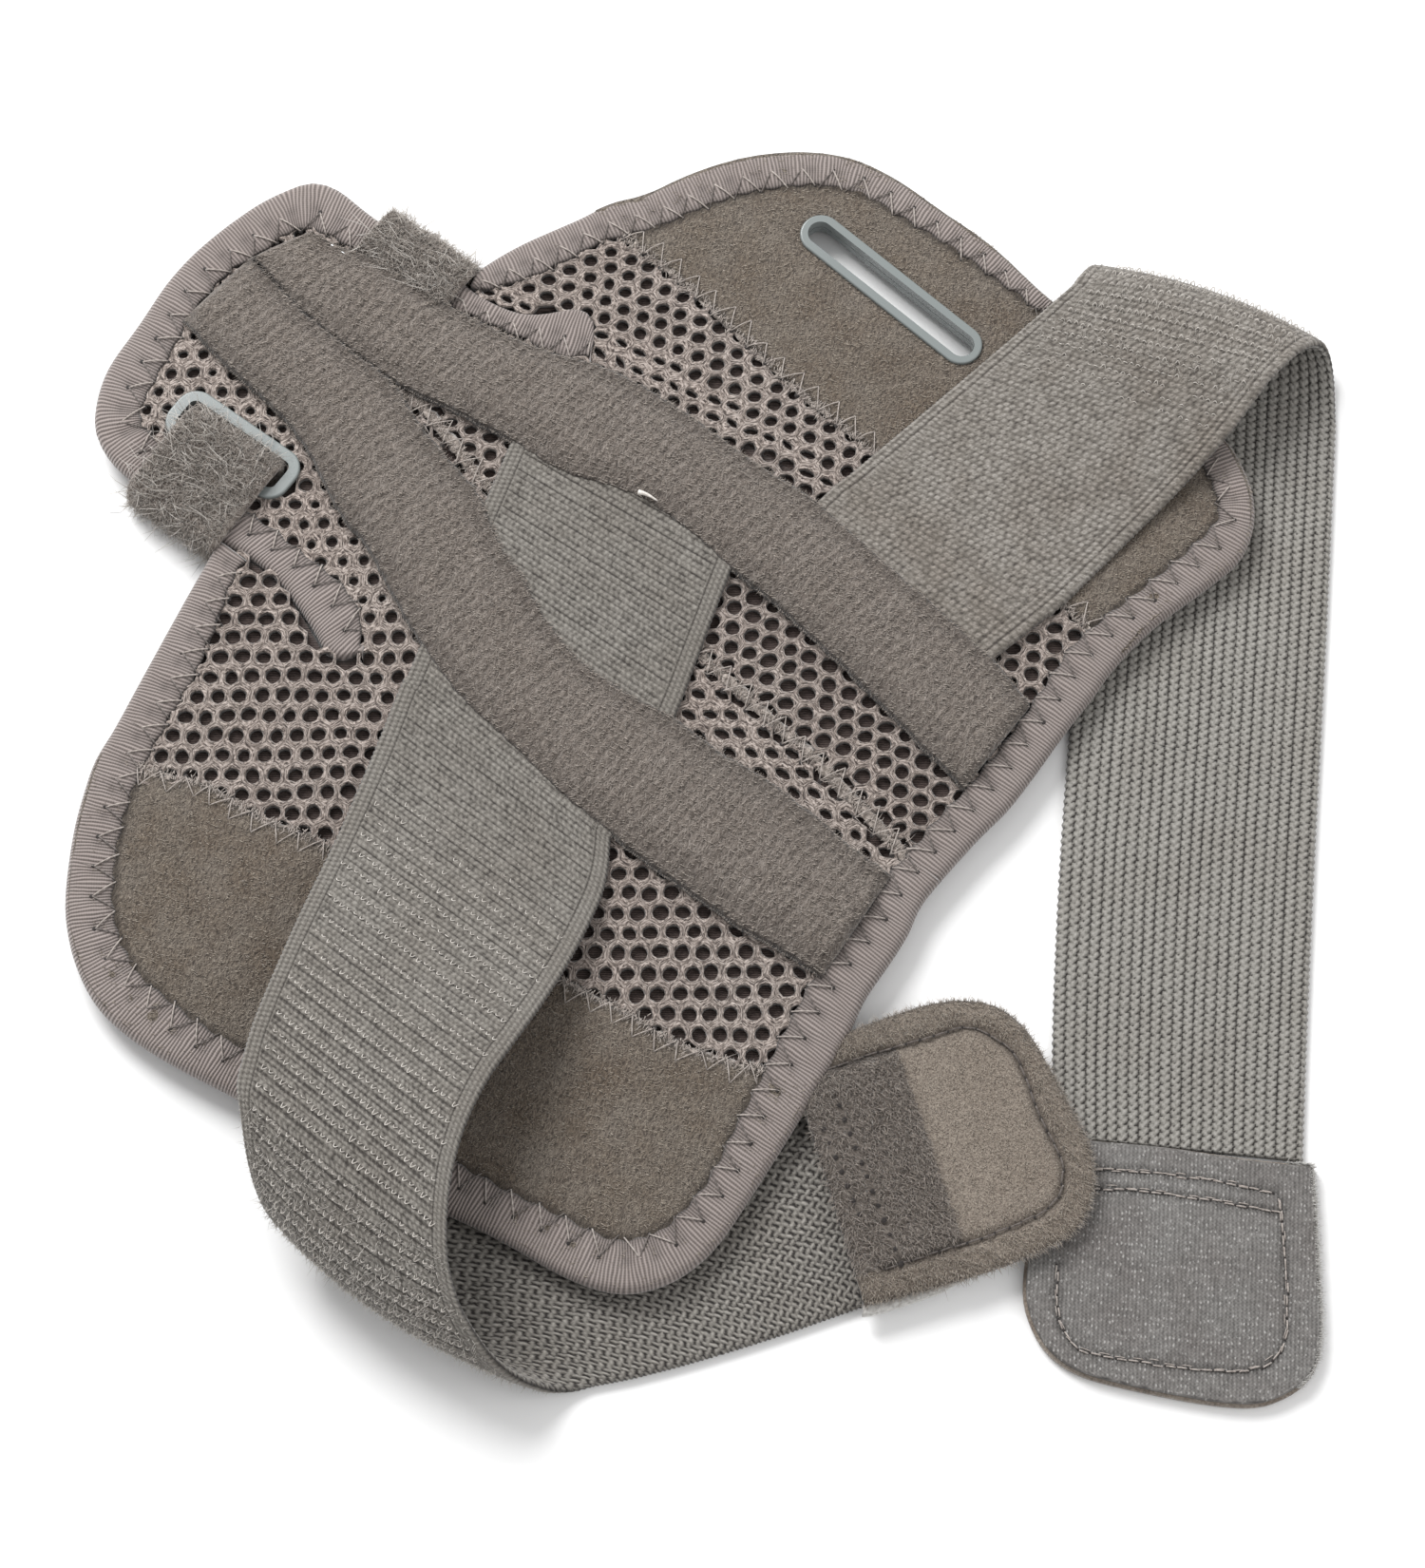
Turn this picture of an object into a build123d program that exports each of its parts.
from build123d import *
import os

# Wrist and forearm splint brace, lying open on its inner face.
# Millimetres. +Z is up off the floor, +Y runs along the forearm to the palm end,
# +X runs to the right wing. The origin is under the middle of the whole piece.

# ---- layers ----
PANEL_Z = 3.60          # underside of the lining
LINING_T = 1.30         # dark inner lining with its thin foam
MESH_T = 1.60           # outer spacer mesh, also the brushed patches
LAYER_GAP = 0.05
MESH_Z = PANEL_Z + LINING_T + LAYER_GAP
PANEL_TOP = MESH_Z + MESH_T
LINING = (PANEL_Z, LINING_T)    # underside and thickness
MESH = (MESH_Z, MESH_T)
FOLD_CUT = 0.35         # half the gap at each wing fold

# ---- folded edge tape ----
TAPE_Z0 = 3.20
TAPE_Z1 = 6.95
TAPE_CLEAR = 0.05
POCKET_NOTCH = 3.0      # height cleared over the panel for the stay pockets

# ---- straps, stays and their pockets ----
STRAP_T = 1.70          # 50 mm elastic strap
STRAP_Z = 6.65          # underside of the strap roots
ROOT_CLEAR = 0.15       # over a strap root, inside a pocket
POCKET_Z0 = 6.62
POCKET_Z1 = 10.30
POCKET_H = POCKET_Z1 - POCKET_Z0
POCKET_ROOF = 0.85
STAY_Z = 8.50
STAY_T = 0.90

# ---- slot rings ----
RING_LEN = 48.0         # right wing ring, overall
RING_W = 9.0
SLOT_LEN = 44.8
SLOT_W = 5.4
NECK_EXTRA = 1.2        # neck size over the slot size
HOLE_EXTRA = 1.6        # panel hole size over the slot size
PALM_RING_LEN = 31.0
PALM_RING_W = 12.0
PALM_RING_R = 4.5
PALM_SLOT_LEN = 26.0
PALM_SLOT_W = 7.0
PALM_SLOT_R = 1.6
PALM_NECK_EXTRA = 1.4
PALM_NECK_R = 2.2
PALM_HOLE_EXTRA = 1.8
PALM_HOLE_R = 2.0
RING_FLANGE = 0.90      # flange of each front frame
RING_EDGE_R = 0.4
RING_BACK_FLANGE = 0.70
PALM_BACK_FLANGE = 0.60
RING_CLEAR = 0.05       # between a flange and the panel
FRONT_NECK = 1.55
BACK_NECK = 1.30
FRONT_SLOT_DROP = 1.6   # start of the slot cut under the panel top
BACK_SLOT_DROP = 1.0    # start of the slot cut under the lining
SLOT_CUT = 4.0

# ---- palm strap ----
PALM_STRAP_W = 24.0
PALM_STRAP_T = 1.30
PALM_RUN = (-0.9997, 0.0261)            # direction under the palm end, right to left
PALM_HOOK_L = 9.0
PALM_HOOK_W = 22.0
PALM_HOOK_R = 2.0
PALM_HOOK_ORIGIN = (-15.53, 127.47, 1.41)
STRAP_SPACE_L = 16.0    # room cut for the palm strap where it rounds an edge
STRAP_SPACE_W = PALM_STRAP_W + 1.2
STRAP_SPACE_H = 12.0
STRAP_SPACE_RIGHT = (52.95, 120.70)     # middle of the outer end of each space
STRAP_SPACE_LEFT = (-32.00, 127.90)

# ---- tabs ----
TAB_LOOP_T = 1.35
TAB_HOOK_T = 1.25
TAB_GAP = 0.05          # between hook and loop tape
TAB_2_Z = 3.00
TAB_CUT = 0.2           # half the gap where tab 1 is split

# ---- places: a point in plan, and a direction or an angle in degrees ----
RIGHT_RING = (97.91, 34.71)
RIGHT_RING_ANGLE = -96.80
PALM_RING = (-10.22, 127.33)
PALM_RING_ANGLE = -91.59
RIGHT_FOLD = (48.76, 108.99)
RIGHT_OUT = (0.99887, 0.04761)          # across the right fold, towards the wing
LEFT_FOLD = (-29.03, 117.38)
LEFT_OUT = (-0.99759, 0.06944)
TAB_1_BEND = (-64.74, -102.70)
TAB_1_OUT = (-0.87922, -0.47641)        # towards the free end of tab 1

# ---- flat patterns ----
# Each outline is a closed loop of (x, y). An inner list is a smooth curve through its
# points, a bare pair is a corner, and straight lines join one to the next.

# centre and palm panel, inside its edge tape
CENTRE_OUTLINE = [[
    (-31.50,79.31), (-34.72,81.53), (-34.45,85.34), (-32.69,88.92), (-31.10,92.59),
    (-29.67,96.32), (-28.43,100.11), (-27.58,104.01), (-27.20,107.98), (-27.34,111.97),
    (-27.71,115.94), (-27.83,119.93), (-27.71,123.93), (-27.57,127.92), (-27.42,131.91),
    (-27.28,135.90), (-27.13,139.89), (-26.72,143.86), (-25.71,147.71), (-23.99,151.31),
    (-21.34,154.27), (-17.98,156.41), (-14.35,158.07), (-10.53,159.22), (-6.57,159.76),
    (-2.59,159.96), (1.40,160.19), (5.37,160.58), (9.35,161.00), (13.33,161.21),
    (17.32,161.11), (21.30,160.74), (25.24,160.11), (29.14,159.26), (33.01,158.26),
    (36.82,157.08), (40.53,155.60), (44.07,153.76), (47.40,151.56), (49.57,148.28),
    (50.01,144.34), (49.59,140.37), (49.17,136.40), (48.88,132.41), (48.62,128.43),
    (48.39,124.44), (48.22,120.45), (48.02,116.47), (47.62,112.49), (47.14,108.53),
    (47.03,104.54), (47.47,100.58), (48.46,96.71), (50.38,93.23), (53.01,90.22),
    (55.91,87.48), (56.30,83.78), (53.38,81.15), (49.74,79.52),
], (49.92,79.53), [
    (56.09,-50.00), (54.28,-49.78), (50.32,-49.58), (46.34,-49.62), (42.38,-49.47),
    (38.41,-49.27), (34.44,-49.20), (30.47,-49.19), (26.50,-49.17), (22.53,-49.13),
    (18.56,-49.00), (14.60,-48.66), (10.68,-48.02), (6.76,-47.37), (2.82,-46.88),
    (-1.12,-46.44), (-5.08,-46.05), (-9.04,-45.78), (-13.00,-45.94), (-16.89,-46.73),
    (-20.83,-47.19), (-24.80,-47.36), (-28.77,-47.40), (-32.74,-47.46), (-36.69,-47.89),
    (-40.33,-48.62),
], (-31.43,79.30)]
# space the edge tape folds around on the centre panel
CENTRE_SLOT = [[
    (-31.53,79.21), (-34.77,81.43), (-34.60,85.25), (-32.84,88.85), (-31.24,92.51),
    (-29.80,96.25), (-28.55,100.05), (-27.68,103.96), (-27.30,107.94), (-27.43,111.94),
    (-27.80,115.92), (-27.93,119.92), (-27.82,123.92), (-27.67,127.92), (-27.51,131.92),
    (-27.38,135.92), (-27.23,139.92), (-26.81,143.90), (-25.80,147.76), (-24.07,151.37),
    (-21.41,154.33), (-18.05,156.49), (-14.41,158.15), (-10.58,159.31), (-6.62,159.85),
    (-2.63,160.06), (1.37,160.28), (5.35,160.68), (9.33,161.09), (13.33,161.31),
    (17.33,161.21), (21.31,160.84), (25.27,160.21), (29.18,159.36), (33.05,158.35),
    (36.87,157.17), (40.59,155.68), (44.14,153.84), (47.47,151.63), (49.66,148.35),
    (50.11,144.39), (49.70,140.41), (49.28,136.43), (48.98,132.44), (48.72,128.45),
    (48.49,124.45), (48.32,120.45), (48.12,116.46), (47.72,112.47), (47.24,108.50),
    (47.14,104.50), (47.58,100.53), (48.59,96.66), (50.54,93.18), (53.19,90.19),
    (56.07,87.42), (56.36,83.69), (53.43,81.06), (49.78,79.43),
], (50.47,79.46), (56.65,-50.12), [
    (56.35,-50.14), (54.25,-49.88), (50.29,-49.68), (46.32,-49.72), (42.35,-49.57),
    (38.39,-49.37), (34.42,-49.30), (30.45,-49.29), (26.48,-49.27), (22.51,-49.23),
    (18.54,-49.10), (14.59,-48.76), (10.67,-48.12), (6.75,-47.47), (2.81,-46.98),
    (-1.13,-46.54), (-5.08,-46.15), (-9.05,-45.88), (-13.01,-46.04), (-16.89,-46.83),
    (-20.84,-47.29), (-24.80,-47.46), (-28.77,-47.50), (-32.74,-47.56), (-36.68,-47.99),
    (-40.58,-48.77), (-40.59,-48.77),
], (-40.89,-48.75), (-31.98,79.25)]
# right wing
RIGHT_WING_OUTLINE = [[
    (49.21,108.10), (53.12,108.44), (56.94,107.20), (60.66,105.67), (64.27,103.92),
    (67.80,101.99), (71.30,100.01), (74.84,98.11), (78.47,96.39), (81.85,94.25),
    (84.87,91.59), (88.25,89.43), (91.83,87.60), (95.36,85.68), (98.77,83.56),
    (102.06,81.25), (105.18,78.72), (108.11,75.96), (110.82,73.00), (113.30,69.84),
    (115.52,66.49), (117.43,62.96), (118.83,59.19), (119.68,55.27), (120.13,51.28),
    (120.26,47.26), (120.08,43.25), (119.78,39.24), (119.53,35.23), (119.32,31.22),
    (119.06,27.20), (118.67,23.21), (118.03,19.24), (117.14,15.32), (116.22,11.41),
    (115.45,7.46), (114.84,3.49), (114.29,-0.49), (113.80,-4.48), (113.34,-8.47),
    (112.96,-12.47), (112.63,-16.48), (112.29,-20.48), (111.88,-24.48), (111.37,-28.46),
    (110.79,-32.44), (110.12,-36.40), (109.26,-40.33), (107.93,-44.12), (105.91,-47.59),
    (103.54,-50.83), (100.66,-53.62), (97.31,-55.82), (93.57,-57.27), (89.61,-57.92),
    (85.63,-57.52), (81.76,-56.42), (77.93,-55.22), (74.11,-53.97), (70.28,-52.74),
    (66.41,-51.66), (62.45,-50.98), (58.45,-50.68), (56.62,-50.53),
], (49.06,108.09)]
# space the edge tape folds around on the right wing
RIGHT_WING_SLOT = [[
    (49.17,108.19), (53.08,108.55), (56.91,107.31), (60.64,105.79), (64.26,104.04),
    (67.79,102.11), (71.29,100.13), (74.83,98.22), (78.47,96.49), (81.87,94.37),
    (84.89,91.71), (88.27,89.53), (91.85,87.70), (95.39,85.78), (98.81,83.65),
    (102.10,81.34), (105.23,78.81), (108.16,76.05), (110.88,73.09), (113.36,69.92),
    (115.59,66.57), (117.50,63.03), (118.91,59.27), (119.77,55.34), (120.22,51.34),
    (120.36,47.32), (120.18,43.30), (119.88,39.29), (119.63,35.27), (119.42,31.25),
    (119.16,27.23), (118.78,23.23), (118.14,19.26), (117.25,15.33), (116.32,11.41),
    (115.56,7.46), (114.94,3.49), (114.39,-0.50), (113.89,-4.49), (113.44,-8.49),
    (113.06,-12.50), (112.72,-16.51), (112.39,-20.52), (111.97,-24.52), (111.46,-28.52),
    (110.88,-32.50), (110.21,-36.47), (109.35,-40.40), (108.01,-44.19), (105.98,-47.66),
    (103.61,-50.91), (100.72,-53.70), (97.36,-55.91), (93.62,-57.36), (89.66,-58.02),
    (85.67,-57.63), (81.80,-56.53), (77.95,-55.34), (74.13,-54.08), (70.30,-52.85),
    (66.42,-51.77), (62.46,-51.08), (58.45,-50.78), (56.37,-50.61),
], (48.80,108.17)]
# left wing
LEFT_WING_OUTLINE = [[
    (-40.84,-48.70), (-42.39,-48.94), (-46.34,-49.39), (-50.30,-49.77), (-54.27,-50.12),
    (-58.23,-50.46), (-62.19,-50.81), (-66.16,-51.10), (-70.13,-51.34), (-74.10,-51.56),
    (-78.08,-51.76), (-82.05,-51.93), (-86.03,-52.07), (-90.00,-52.12), (-93.97,-51.83),
    (-97.87,-51.04), (-101.62,-49.73), (-105.08,-47.77), (-108.14,-45.24), (-110.58,-42.12),
    (-112.22,-38.50), (-113.25,-34.66), (-113.92,-30.74), (-114.32,-26.78), (-114.60,-22.81),
    (-114.93,-18.85), (-115.36,-14.89), (-115.91,-10.95), (-116.61,-7.04), (-117.39,-3.14),
    (-118.13,0.77), (-118.83,4.69), (-119.51,8.61), (-120.10,12.54), (-120.55,16.50),
    (-120.86,20.46), (-121.09,24.43), (-121.27,28.41), (-121.38,32.38), (-121.39,36.36),
    (-121.44,40.34), (-121.73,44.31), (-122.21,48.26), (-122.73,52.20), (-123.17,56.15),
    (-123.46,60.12), (-123.61,64.10), (-123.54,68.07), (-123.15,72.03), (-122.32,75.92),
    (-120.89,79.63), (-118.99,83.12), (-116.76,86.41), (-114.22,89.47), (-111.42,92.29),
    (-108.32,94.79), (-105.02,97.00), (-101.61,99.06), (-98.15,101.02), (-94.61,102.84),
    (-90.98,104.46), (-87.29,105.94), (-83.55,107.29), (-79.67,108.18), (-75.72,108.64),
    (-71.79,109.21), (-67.87,109.90), (-63.95,110.59), (-60.03,111.28), (-56.11,111.96),
    (-52.19,112.62), (-48.27,113.29), (-44.34,113.94), (-40.41,114.56), (-36.48,115.15),
    (-32.55,115.78), (-29.35,116.40),
]]
# space the edge tape folds around on the left wing
LEFT_WING_SLOT = [[
    (-40.59,-48.76), (-42.38,-49.04), (-46.33,-49.49), (-50.30,-49.87), (-54.27,-50.22),
    (-58.23,-50.56), (-62.20,-50.91), (-66.17,-51.20), (-70.15,-51.44), (-74.12,-51.66),
    (-78.10,-51.86), (-82.08,-52.03), (-86.06,-52.18), (-90.04,-52.22), (-94.01,-51.92),
    (-97.91,-51.13), (-101.66,-49.82), (-105.13,-47.86), (-108.19,-45.33), (-110.64,-42.20),
    (-112.29,-38.59), (-113.34,-34.75), (-114.01,-30.82), (-114.42,-26.86), (-114.69,-22.89),
    (-115.03,-18.92), (-115.45,-14.96), (-116.00,-11.02), (-116.70,-7.10), (-117.48,-3.19),
    (-118.22,0.72), (-118.92,4.64), (-119.60,8.57), (-120.20,12.50), (-120.65,16.46),
    (-120.96,20.43), (-121.19,24.41), (-121.36,28.39), (-121.48,32.37), (-121.49,36.35),
    (-121.54,40.33), (-121.83,44.30), (-122.31,48.25), (-122.83,52.20), (-123.27,56.16),
    (-123.56,60.13), (-123.71,64.11), (-123.63,68.09), (-123.25,72.05), (-122.42,75.94),
    (-120.99,79.66), (-119.08,83.15), (-116.85,86.45), (-114.31,89.52), (-111.51,92.34),
    (-108.42,94.85), (-105.11,97.06), (-101.70,99.13), (-98.24,101.09), (-94.70,102.91),
    (-91.06,104.54), (-87.37,106.02), (-83.62,107.37), (-79.74,108.27), (-75.79,108.73),
    (-71.85,109.30), (-67.93,109.99), (-64.01,110.68), (-60.08,111.37), (-56.16,112.05),
    (-52.23,112.72), (-48.31,113.38), (-44.38,114.03), (-40.44,114.65), (-36.50,115.25),
    (-32.57,115.88), (-29.09,116.56),
]]
# palm end with its two bound slits, with clearance
PALM_KEEPOUT = [[
    (-31.99,77.95), (-35.35,80.03), (-36.43,83.73), (-35.04,87.44), (-33.32,91.04),
    (-31.81,94.74), (-30.45,98.49), (-29.37,102.33), (-28.75,106.27), (-28.67,110.25),
    (-29.01,114.23), (-29.27,118.21), (-29.23,122.20), (-29.08,126.19), (-28.93,130.18),
    (-28.78,134.17), (-28.66,138.16), (-28.40,142.14), (-27.74,146.07), (-26.40,149.83),
    (-24.38,153.25), (-21.48,155.97), (-18.05,158.01), (-14.39,159.60), (-10.56,160.69),
    (-6.60,161.21), (-2.62,161.41), (1.37,161.64), (5.34,162.03), (9.31,162.45),
    (13.29,162.66), (17.28,162.57), (21.25,162.20), (25.20,161.59), (29.10,160.77),
    (32.97,159.77), (36.79,158.62), (40.51,157.20), (44.08,155.42), (47.48,153.33),
    (50.18,150.44), (51.37,146.66), (51.34,142.68), (50.86,138.72), (50.50,134.74),
    (50.22,130.76), (49.97,126.78), (49.77,122.79), (49.60,118.81), (49.35,114.82),
    (48.87,110.86), (48.47,106.89), (48.62,102.91), (49.27,98.97), (50.76,95.29),
    (53.18,92.12), (56.07,89.37), (58.06,86.02), (57.03,82.28), (53.94,79.81),
    (50.30,78.18),
]]
# edge tape round the palm end and both slits
PALM_BINDING = [[
    (-31.84,78.37), (-35.19,80.50), (-35.88,84.30), (-34.27,87.97), (-32.58,91.61),
    (-31.10,95.35), (-29.77,99.14), (-28.76,103.02), (-28.24,107.00), (-28.27,111.02),
    (-28.63,115.02), (-28.83,119.03), (-28.75,123.04), (-28.60,127.06), (-28.45,131.07),
    (-28.30,135.09), (-28.17,139.10), (-27.84,143.11), (-27.00,147.03), (-25.46,150.74),
    (-23.13,153.99), (-19.96,156.44), (-16.40,158.29), (-12.65,159.71), (-8.72,160.54),
    (-4.72,160.87), (-0.70,161.05), (3.30,161.36), (7.29,161.80), (11.30,162.14),
    (15.31,162.20), (19.32,161.96), (23.31,161.46), (27.26,160.72), (31.16,159.79),
    (35.03,158.71), (38.83,157.41), (42.49,155.76), (45.99,153.79), (49.09,151.26),
    (50.76,147.65), (50.98,143.65), (50.51,139.66), (50.12,135.67), (49.83,131.66),
    (49.57,127.65), (49.35,123.64), (49.19,119.62), (48.96,115.61), (48.51,111.62),
    (48.07,107.63), (48.10,103.62), (48.66,99.64), (49.94,95.85), (52.20,92.54),
    (55.04,89.71), (57.50,86.59), (56.85,82.78), (53.79,80.24), (50.12,78.60),
], [
    (50.12,78.60), (47.31,81.44), (45.87,85.15), (45.33,89.13), (44.89,93.12),
    (44.26,97.08), (43.55,101.03), (42.81,104.97), (42.02,108.90), (41.22,112.83),
    (40.69,116.81), (40.69,120.82), (40.97,124.82), (41.15,128.83), (41.28,132.84),
    (41.32,136.85), (41.02,140.85), (39.82,144.66), (37.06,147.49), (33.32,148.90),
    (29.44,149.95), (25.72,151.44), (21.91,152.67), (17.93,153.13), (13.92,153.25),
    (9.91,153.11), (5.94,152.55), (1.99,151.81), (-1.97,151.22), (-5.95,150.65),
    (-9.89,149.90), (-13.71,148.71), (-16.75,146.24), (-17.82,142.39), (-18.47,138.43),
    (-19.15,134.48), (-19.65,130.50), (-19.86,126.49), (-19.91,122.48), (-19.97,118.47),
    (-20.07,114.46), (-20.23,110.45), (-20.53,106.45), (-20.91,102.45), (-21.23,98.45),
    (-21.43,94.44), (-22.13,90.50), (-23.48,86.72), (-25.52,83.29), (-28.67,80.83),
    (-31.84,78.37),
]]
# edge tape across the forearm edge
WIDE_BINDING = [[
    (69.58,-53.54), (65.76,-52.52), (61.86,-51.84), (57.95,-51.24), (54.02,-50.76),
    (50.06,-50.58), (46.10,-50.62), (42.15,-50.46), (38.20,-50.26), (34.24,-50.20),
    (30.28,-50.19), (26.32,-50.17), (22.36,-50.13), (18.40,-50.00), (14.46,-49.65),
    (10.55,-49.01), (6.65,-48.36), (2.72,-47.87), (-1.22,-47.43), (-5.16,-47.05),
    (-9.11,-46.78), (-13.05,-46.95), (-16.93,-47.75), (-20.86,-48.19), (-24.82,-48.36),
    (-28.78,-48.40), (-32.73,-48.46), (-36.67,-48.91), (-40.55,-49.68), (-44.47,-50.21),
    (-48.41,-50.61), (-52.36,-50.92),
], [
    (-56.50,-39.81), (-52.59,-39.34), (-48.68,-38.85), (-44.78,-38.34), (-40.86,-37.97),
    (-36.93,-37.71), (-33.00,-37.58), (-29.06,-37.66), (-25.14,-37.95), (-21.21,-38.23),
    (-17.28,-38.23), (-13.35,-37.96), (-9.42,-37.82), (-5.49,-38.01), (-1.57,-38.37),
    (2.34,-38.80), (6.25,-39.27), (10.16,-39.73), (14.08,-40.17), (17.99,-40.55),
    (21.92,-40.85), (25.85,-41.00), (29.79,-41.05), (33.72,-41.05), (37.66,-41.02),
    (41.60,-40.95), (45.53,-40.82), (49.47,-40.77), (53.39,-41.00), (57.27,-41.69),
    (61.07,-42.72), (64.86,-43.77),
]]
# edge tape round the right wing
RIGHT_BINDING = [[
    (48.76,108.99), (52.68,109.55), (56.52,108.41), (60.25,106.94), (63.89,105.24),
    (67.43,103.35), (70.92,101.37), (74.44,99.43), (78.05,97.69), (81.56,95.75),
    (84.59,93.12), (87.85,90.80), (91.41,88.93), (94.96,87.07), (98.40,84.99),
    (101.72,82.74), (104.89,80.28), (107.88,77.60), (110.66,74.71), (113.22,71.62),
    (115.54,68.34), (117.58,64.89), (119.22,61.23), (120.31,57.37), (120.94,53.41),
    (121.23,49.40), (121.21,45.39), (120.94,41.39), (120.65,37.38), (120.43,33.37),
    (120.21,29.37), (119.91,25.36), (119.43,21.38), (118.67,17.44), (117.74,13.53),
    (116.87,9.62), (116.17,5.66), (115.59,1.69), (115.07,-2.29), (114.59,-6.27),
    (114.17,-10.27), (113.81,-14.26), (113.48,-18.27), (113.12,-22.26), (112.67,-26.25),
    (112.13,-30.23), (111.52,-34.20), (110.79,-38.14), (109.81,-42.03), (108.23,-45.72),
    (106.09,-49.11), (103.61,-52.26), (100.61,-54.92), (97.19,-57.00), (93.41,-58.35),
    (89.45,-58.93), (85.47,-58.50), (81.61,-57.42), (77.77,-56.23), (73.96,-54.97),
    (70.14,-53.74), (66.27,-52.66), (62.32,-51.97), (58.32,-51.68), (54.32,-51.34),
    (50.33,-50.88),
], [
    (46.72,-40.91), (50.69,-40.79), (54.64,-41.24), (58.51,-42.12), (62.36,-43.12),
    (66.21,-44.13), (70.05,-45.17), (73.88,-46.21), (77.72,-47.24), (81.57,-48.24),
    (85.44,-49.17), (89.33,-49.95), (93.29,-49.96), (96.84,-48.26), (99.52,-45.34),
    (101.72,-42.03), (103.64,-38.55), (105.04,-34.84), (105.91,-30.96), (106.56,-27.04),
    (107.19,-23.11), (107.82,-19.18), (108.44,-15.26), (109.05,-11.33), (109.68,-7.40),
    (110.35,-3.48), (111.06,0.43), (111.77,4.34), (112.41,8.27), (112.91,12.21),
    (113.26,16.17), (113.58,20.13), (113.91,24.10), (114.17,28.06), (114.30,32.04),
    (114.28,36.01), (114.19,39.99), (114.16,43.96), (114.22,47.94), (113.99,51.90),
    (113.08,55.77), (111.58,59.45), (109.61,62.90), (107.24,66.08), (104.58,69.04),
    (101.67,71.75), (98.61,74.29), (95.45,76.69), (92.16,78.93), (88.71,80.90),
    (85.19,82.75), (81.82,84.85), (78.75,87.38), (75.76,90.00), (72.46,92.20),
    (68.85,93.86), (65.22,95.48), (61.65,97.23), (58.20,99.21), (54.89,101.42),
    (51.79,103.91), (48.83,106.55),
]]
# edge tape round the left wing
LEFT_BINDING = [[
    (-34.36,-48.51), (-38.30,-49.31), (-42.27,-49.93), (-46.26,-50.38), (-50.26,-50.77),
    (-54.27,-51.12), (-58.27,-51.47), (-62.27,-51.82), (-66.28,-52.11), (-70.29,-52.35),
    (-74.31,-52.57), (-78.32,-52.77), (-82.34,-52.94), (-86.35,-53.08), (-90.37,-53.11),
    (-94.37,-52.78), (-98.31,-51.96), (-102.09,-50.61), (-105.58,-48.64), (-108.69,-46.10),
    (-111.21,-42.98), (-112.96,-39.37), (-114.09,-35.52), (-114.81,-31.56), (-115.26,-27.57),
    (-115.55,-23.56), (-115.87,-19.56), (-116.29,-15.56), (-116.82,-11.58), (-117.52,-7.62),
    (-118.30,-3.68), (-119.05,0.27), (-119.76,4.23), (-120.45,8.19), (-121.06,12.16),
    (-121.52,16.15), (-121.84,20.16), (-122.08,24.17), (-122.26,28.19), (-122.38,32.20),
    (-122.39,36.22), (-122.44,40.24), (-122.73,44.25), (-123.21,48.24), (-123.74,52.22),
    (-124.18,56.22), (-124.47,60.23), (-124.62,64.24), (-124.53,68.26), (-124.13,72.26),
    (-123.28,76.18), (-121.85,79.93), (-119.94,83.47), (-117.71,86.81), (-115.16,89.92),
    (-112.35,92.79), (-109.26,95.35), (-105.93,97.61), (-102.50,99.70), (-99.01,101.69),
    (-95.45,103.55), (-91.79,105.21), (-88.06,106.71), (-84.29,108.10), (-80.39,109.07),
    (-76.41,109.56), (-72.43,110.12), (-68.47,110.81), (-64.51,111.51), (-60.55,112.20),
    (-56.59,112.89), (-52.63,113.56), (-48.66,114.23), (-44.70,114.89), (-40.73,115.52),
    (-36.76,116.12), (-32.79,116.76), (-28.84,117.52),
], [
    (-29.06,109.97), (-33.06,109.69), (-36.96,108.73), (-40.78,107.49), (-44.61,106.29),
    (-48.47,105.18), (-52.35,104.13), (-56.26,103.22), (-60.23,102.58), (-64.21,102.08),
    (-68.19,101.49), (-72.15,100.85), (-76.10,100.12), (-80.01,99.20), (-83.85,98.03),
    (-87.62,96.64), (-91.28,94.99), (-94.84,93.14), (-98.30,91.10), (-101.65,88.87),
    (-104.82,86.41), (-107.59,83.51), (-109.90,80.23), (-111.73,76.66), (-112.98,72.84),
    (-113.69,68.89), (-114.12,64.90), (-114.33,60.89), (-114.34,56.87), (-114.13,52.86),
    (-113.61,48.88), (-113.05,44.90), (-112.52,40.92), (-112.10,36.93), (-111.75,32.92),
    (-111.43,28.92), (-111.13,24.91), (-110.84,20.91), (-110.58,16.90), (-110.31,12.89),
    (-109.94,8.89), (-109.36,4.92), (-108.67,0.96), (-108.11,-3.02), (-107.69,-7.01),
    (-107.28,-11.01), (-106.77,-14.99), (-106.14,-18.96), (-105.47,-22.92), (-104.84,-26.89),
    (-104.35,-30.87), (-103.40,-34.77), (-101.35,-38.20), (-98.36,-40.85), (-94.76,-42.62),
    (-90.86,-43.55), (-86.86,-43.88), (-82.85,-43.87), (-78.84,-43.59), (-74.87,-43.00),
    (-70.92,-42.23), (-66.96,-41.56), (-62.98,-41.02), (-59.00,-40.51), (-55.02,-39.94),
    (-51.05,-39.33), (-47.08,-38.72), (-43.10,-38.19), (-39.10,-37.83), (-35.09,-37.66),
    (-31.07,-37.55),
]]
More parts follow.
